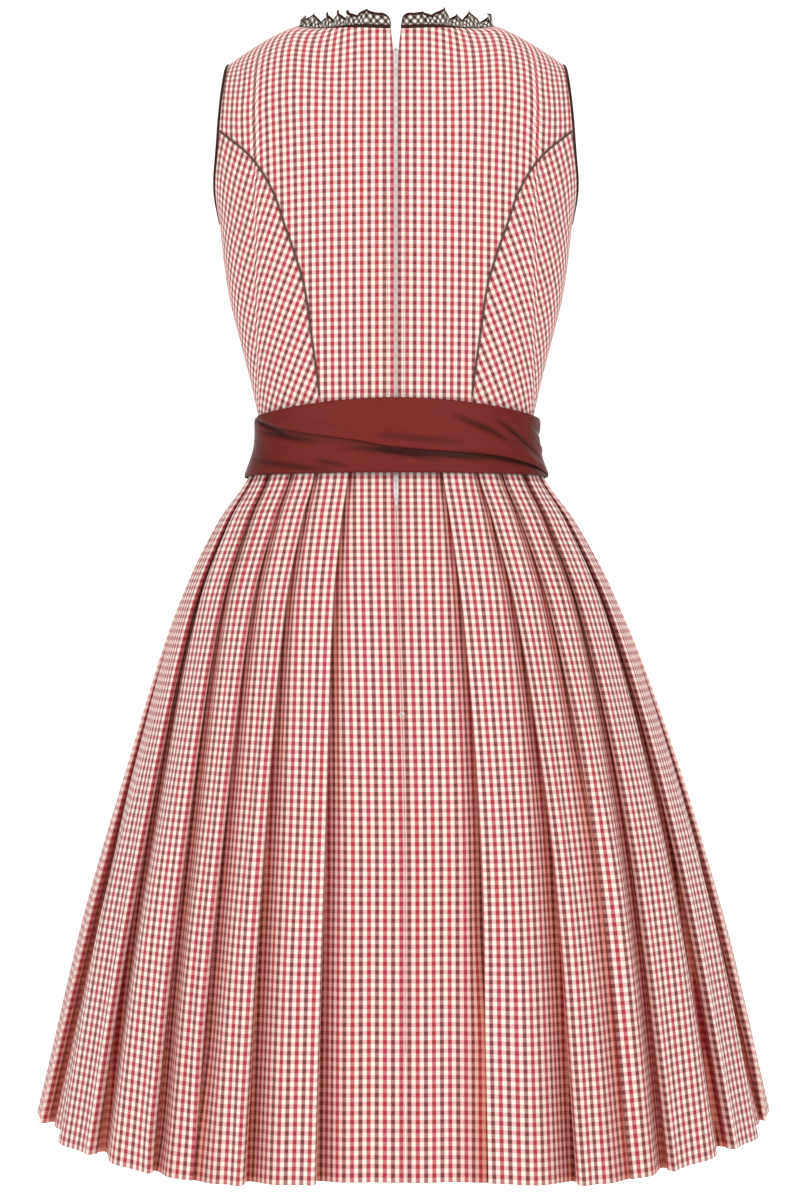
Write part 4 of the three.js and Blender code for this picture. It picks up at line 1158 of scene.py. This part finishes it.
def sash_band(name, angles, low, layer, ring):
    share = np.linspace(0, 1, 45)
    angle = np.repeat(angles[None], len(share), 0)
    wrapped = (angle + 180) % 360 - 180
    top = sash_top_z(angles)
    z = mix(low[None], top[None], share[:, None])
    crease = SASH_CREASE_SCALE * crease_height(
        wrapped * SASH_MM_PER_DEGREE, z, SASH_CREASES, SASH_CREASE_REACH, SASH_MM_PER_DEGREE)
    roll = -0.9 * np.exp(-((z - low[None]) / 1.6) ** 2) - 0.7 * np.exp(-((top[None] - z) / 1.6) ** 2)
    swell = 0.5 * np.sin(np.radians(angle * 5 + 40)) * np.sin((z + 346) / 13.0)
    net = sash_point(angle, z, layer + crease + roll + swell)
    cloth = np.stack([np.radians(angle) * 120, z], -1)
    # Painted shade in the troughs of the creases; on the under turn, painted shadow along the strip at its
    # foot and just below the over turn's edge.
    painted_shade_weight = np.clip(-crease * 0.46, 0, 1)
    if layer == SASH_UNDER_LAYER:
        painted_shade_weight += 0.5 * np.clip((low[None] + SASH_EDGE - z) / SASH_EDGE, 0, 1)
        gap = sash_low(wrapped) - z
        painted_shade_weight += np.where(gap > -1, 0.85 * np.exp(-np.clip(gap, 0, None) / 3.2), 0)
    piece = shell(name + "_silk", net, cloth, np.clip(painted_shade_weight, 0, 1), ring=ring)
    dress_piece(piece, name, sash_silk)


under_angles = np.linspace(-180, 180, 421)[:-1]
sash_band("sash_under", under_angles, np.full(under_angles.shape, SASH_LOW_Z), SASH_UNDER_LAYER, True)
over_angles = np.linspace(75, -180, 300)
sash_band("sash_over", over_angles, sash_low(over_angles), SASH_OVER_LAYER, False)

# ---- Zip -------------------------------------------------------------------------------------
# A hidden zip in the centre back seam: two woven tapes behind the folded edges, an enamelled
# slider at the top, and a pull that hangs on the inside. A bar tack holds the seam below it.
TAPE_HALF = 12.0
TAPE_COLUMNS = 7
TAPE_BEHIND = {"bodice": 1.9, "skirt": 1.6}
tape_rows = np.concatenate([np.linspace(-5, -19.6, 8), np.linspace(-22, ZIP_END_Z, 90)])


def zip_tape(hand, side):
    net = []
    for z in tape_rows:
        near = mix(2.8, 4.6, (z + 19.6) / 14.6) if z > -20 else 0.08
        x = np.linspace(near, TAPE_HALF, TAPE_COLUMNS)
        level = np.full(TAPE_COLUMNS, z)
        if z > WAIST_Z:
            turn = turn_at(x, level)
            point = turn_point("back", side, turn, level)
            net.append(point - turn_normal("back", side, turn, level) * TAPE_BEHIND["bodice"])
        else:
            _, place = ring_ruler(z)
            spot = place(x, np.full(TAPE_COLUMNS, -TAPE_BEHIND["skirt"]))
            net.append(np.stack([side * spot[:, 0] + sway(z), spot[:, 1], level], -1))
    net = np.array(net)
    across = np.linspace(0, TAPE_HALF, TAPE_COLUMNS)
    cloth = np.stack(np.broadcast_arrays(across[None], tape_rows[:, None]), -1)
    piece = shell(f"zip_tape_{hand}_woven", net, cloth, np.zeros(cloth.shape[:2]), thick=0.5)
    dress_piece(piece, f"zip_tape_{hand}", tape_weave)


tape_weave = plain_cotton("zip_tape_weave", (0.92, 0.74, 0.73), 0.8, 0.0009)
zip_tape("left", 1)
zip_tape("right", -1)

enamel, enamel_tree, enamel_shader = new_material("white_enamel", {"Roughness": 0.32})
enamel_tree.links.new(
    blend_colour(enamel_tree, noise(enamel_tree, scale=900.0), (0.80, 0.77, 0.74, 1), (0.92, 0.90, 0.88, 1)),
    enamel_shader.inputs["Base Color"])
for node in ("zip_slider", "zip_pull"):
    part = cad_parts[node]
    part.data.materials.clear()
    part.data.materials.append(enamel)


def stitch_row(name, starts, ends, outs, radius, material):
    """Short stitches as little rounded bars between pairs of points, joined in one mesh."""
    verts, faces = [], []
    sides = 6
    for a, b, out in zip(starts, ends, outs):
        base = len(verts)
        along = unit(b - a)
        across = unit(np.cross(along, out))
        rings = ((a, 0.35), (a + along * 0.5, 1), (b - along * 0.5, 1), (b, 0.35))
        for spot, size in rings:
            for k in range(sides):
                turn = k * 2 * math.pi / sides
                reach = across * math.cos(turn) + out * math.sin(turn)
                verts.append(spot + reach * radius * size)
        last = base + (len(rings) - 1) * sides
        faces += net_faces(len(rings), sides, cols_ring=True, base=base)
        faces += [tuple(range(base + sides - 1, base - 1, -1)), tuple(range(last, last + sides))]
    mesh = new_mesh(name, verts, faces)
    piece = add_object(name, mesh)
    mesh.materials.append(material)
    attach(piece, "dress")
    return piece


STITCH_REPEAT = 2.6
STITCH_LENGTH = 2.0
zip_thread = plain_cotton("zip_thread", (0.16, 0.085, 0.075), 0.7, 0.0006)
white_thread = plain_cotton("white_thread", (0.80, 0.74, 0.72), 0.6, 0.0006)
for hand, side in HANDS:
    spots = np.arange(NECK_BACK_Z - 6, -345, -STITCH_REPEAT)
    x = 9.5 - 2.2 * smooth_step((-spots - 20) / 300.0)

    def on_back(x, z):
        turn = turn_at(x, z)
        normal = turn_normal("back", side, turn, z)
        return turn_point("back", side, turn, z) + normal * -0.05, normal

    upper, normal = on_back(x, spots)
    lower, _ = on_back(x, spots - STITCH_LENGTH)
    seam = stitch_row(f"zip_stitches_{hand}", upper, lower, normal, 0.22, zip_thread)

TACK_Z = ZIP_END_Z - 8
TACK_THREADS = table(
    "x0 z0 x1 z1",
    (-2.6, 0.0,  2.6,  0.6),
    (-2.4, 1.3,  2.2,  -1.1),
    (-1.2, -2.4, 0.8,  2.6),
    (1.4,  -2.2, -0.6, 2.4),
)
tack_y = ring_ruler(TACK_Z)[1](np.zeros(1), np.zeros(1))[0][1] + 0.9
tack_from, tack_to = (
    np.array([[row["x" + end] + sway(ZIP_END_Z), tack_y, TACK_Z + row["z" + end]] for row in TACK_THREADS])
    for end in "01")
tack_out = np.array([[0.0, 1.0, 0.0]] * len(TACK_THREADS))
bar_tack = stitch_row("bar_tack", tack_from, tack_to, tack_out, 0.4, white_thread)
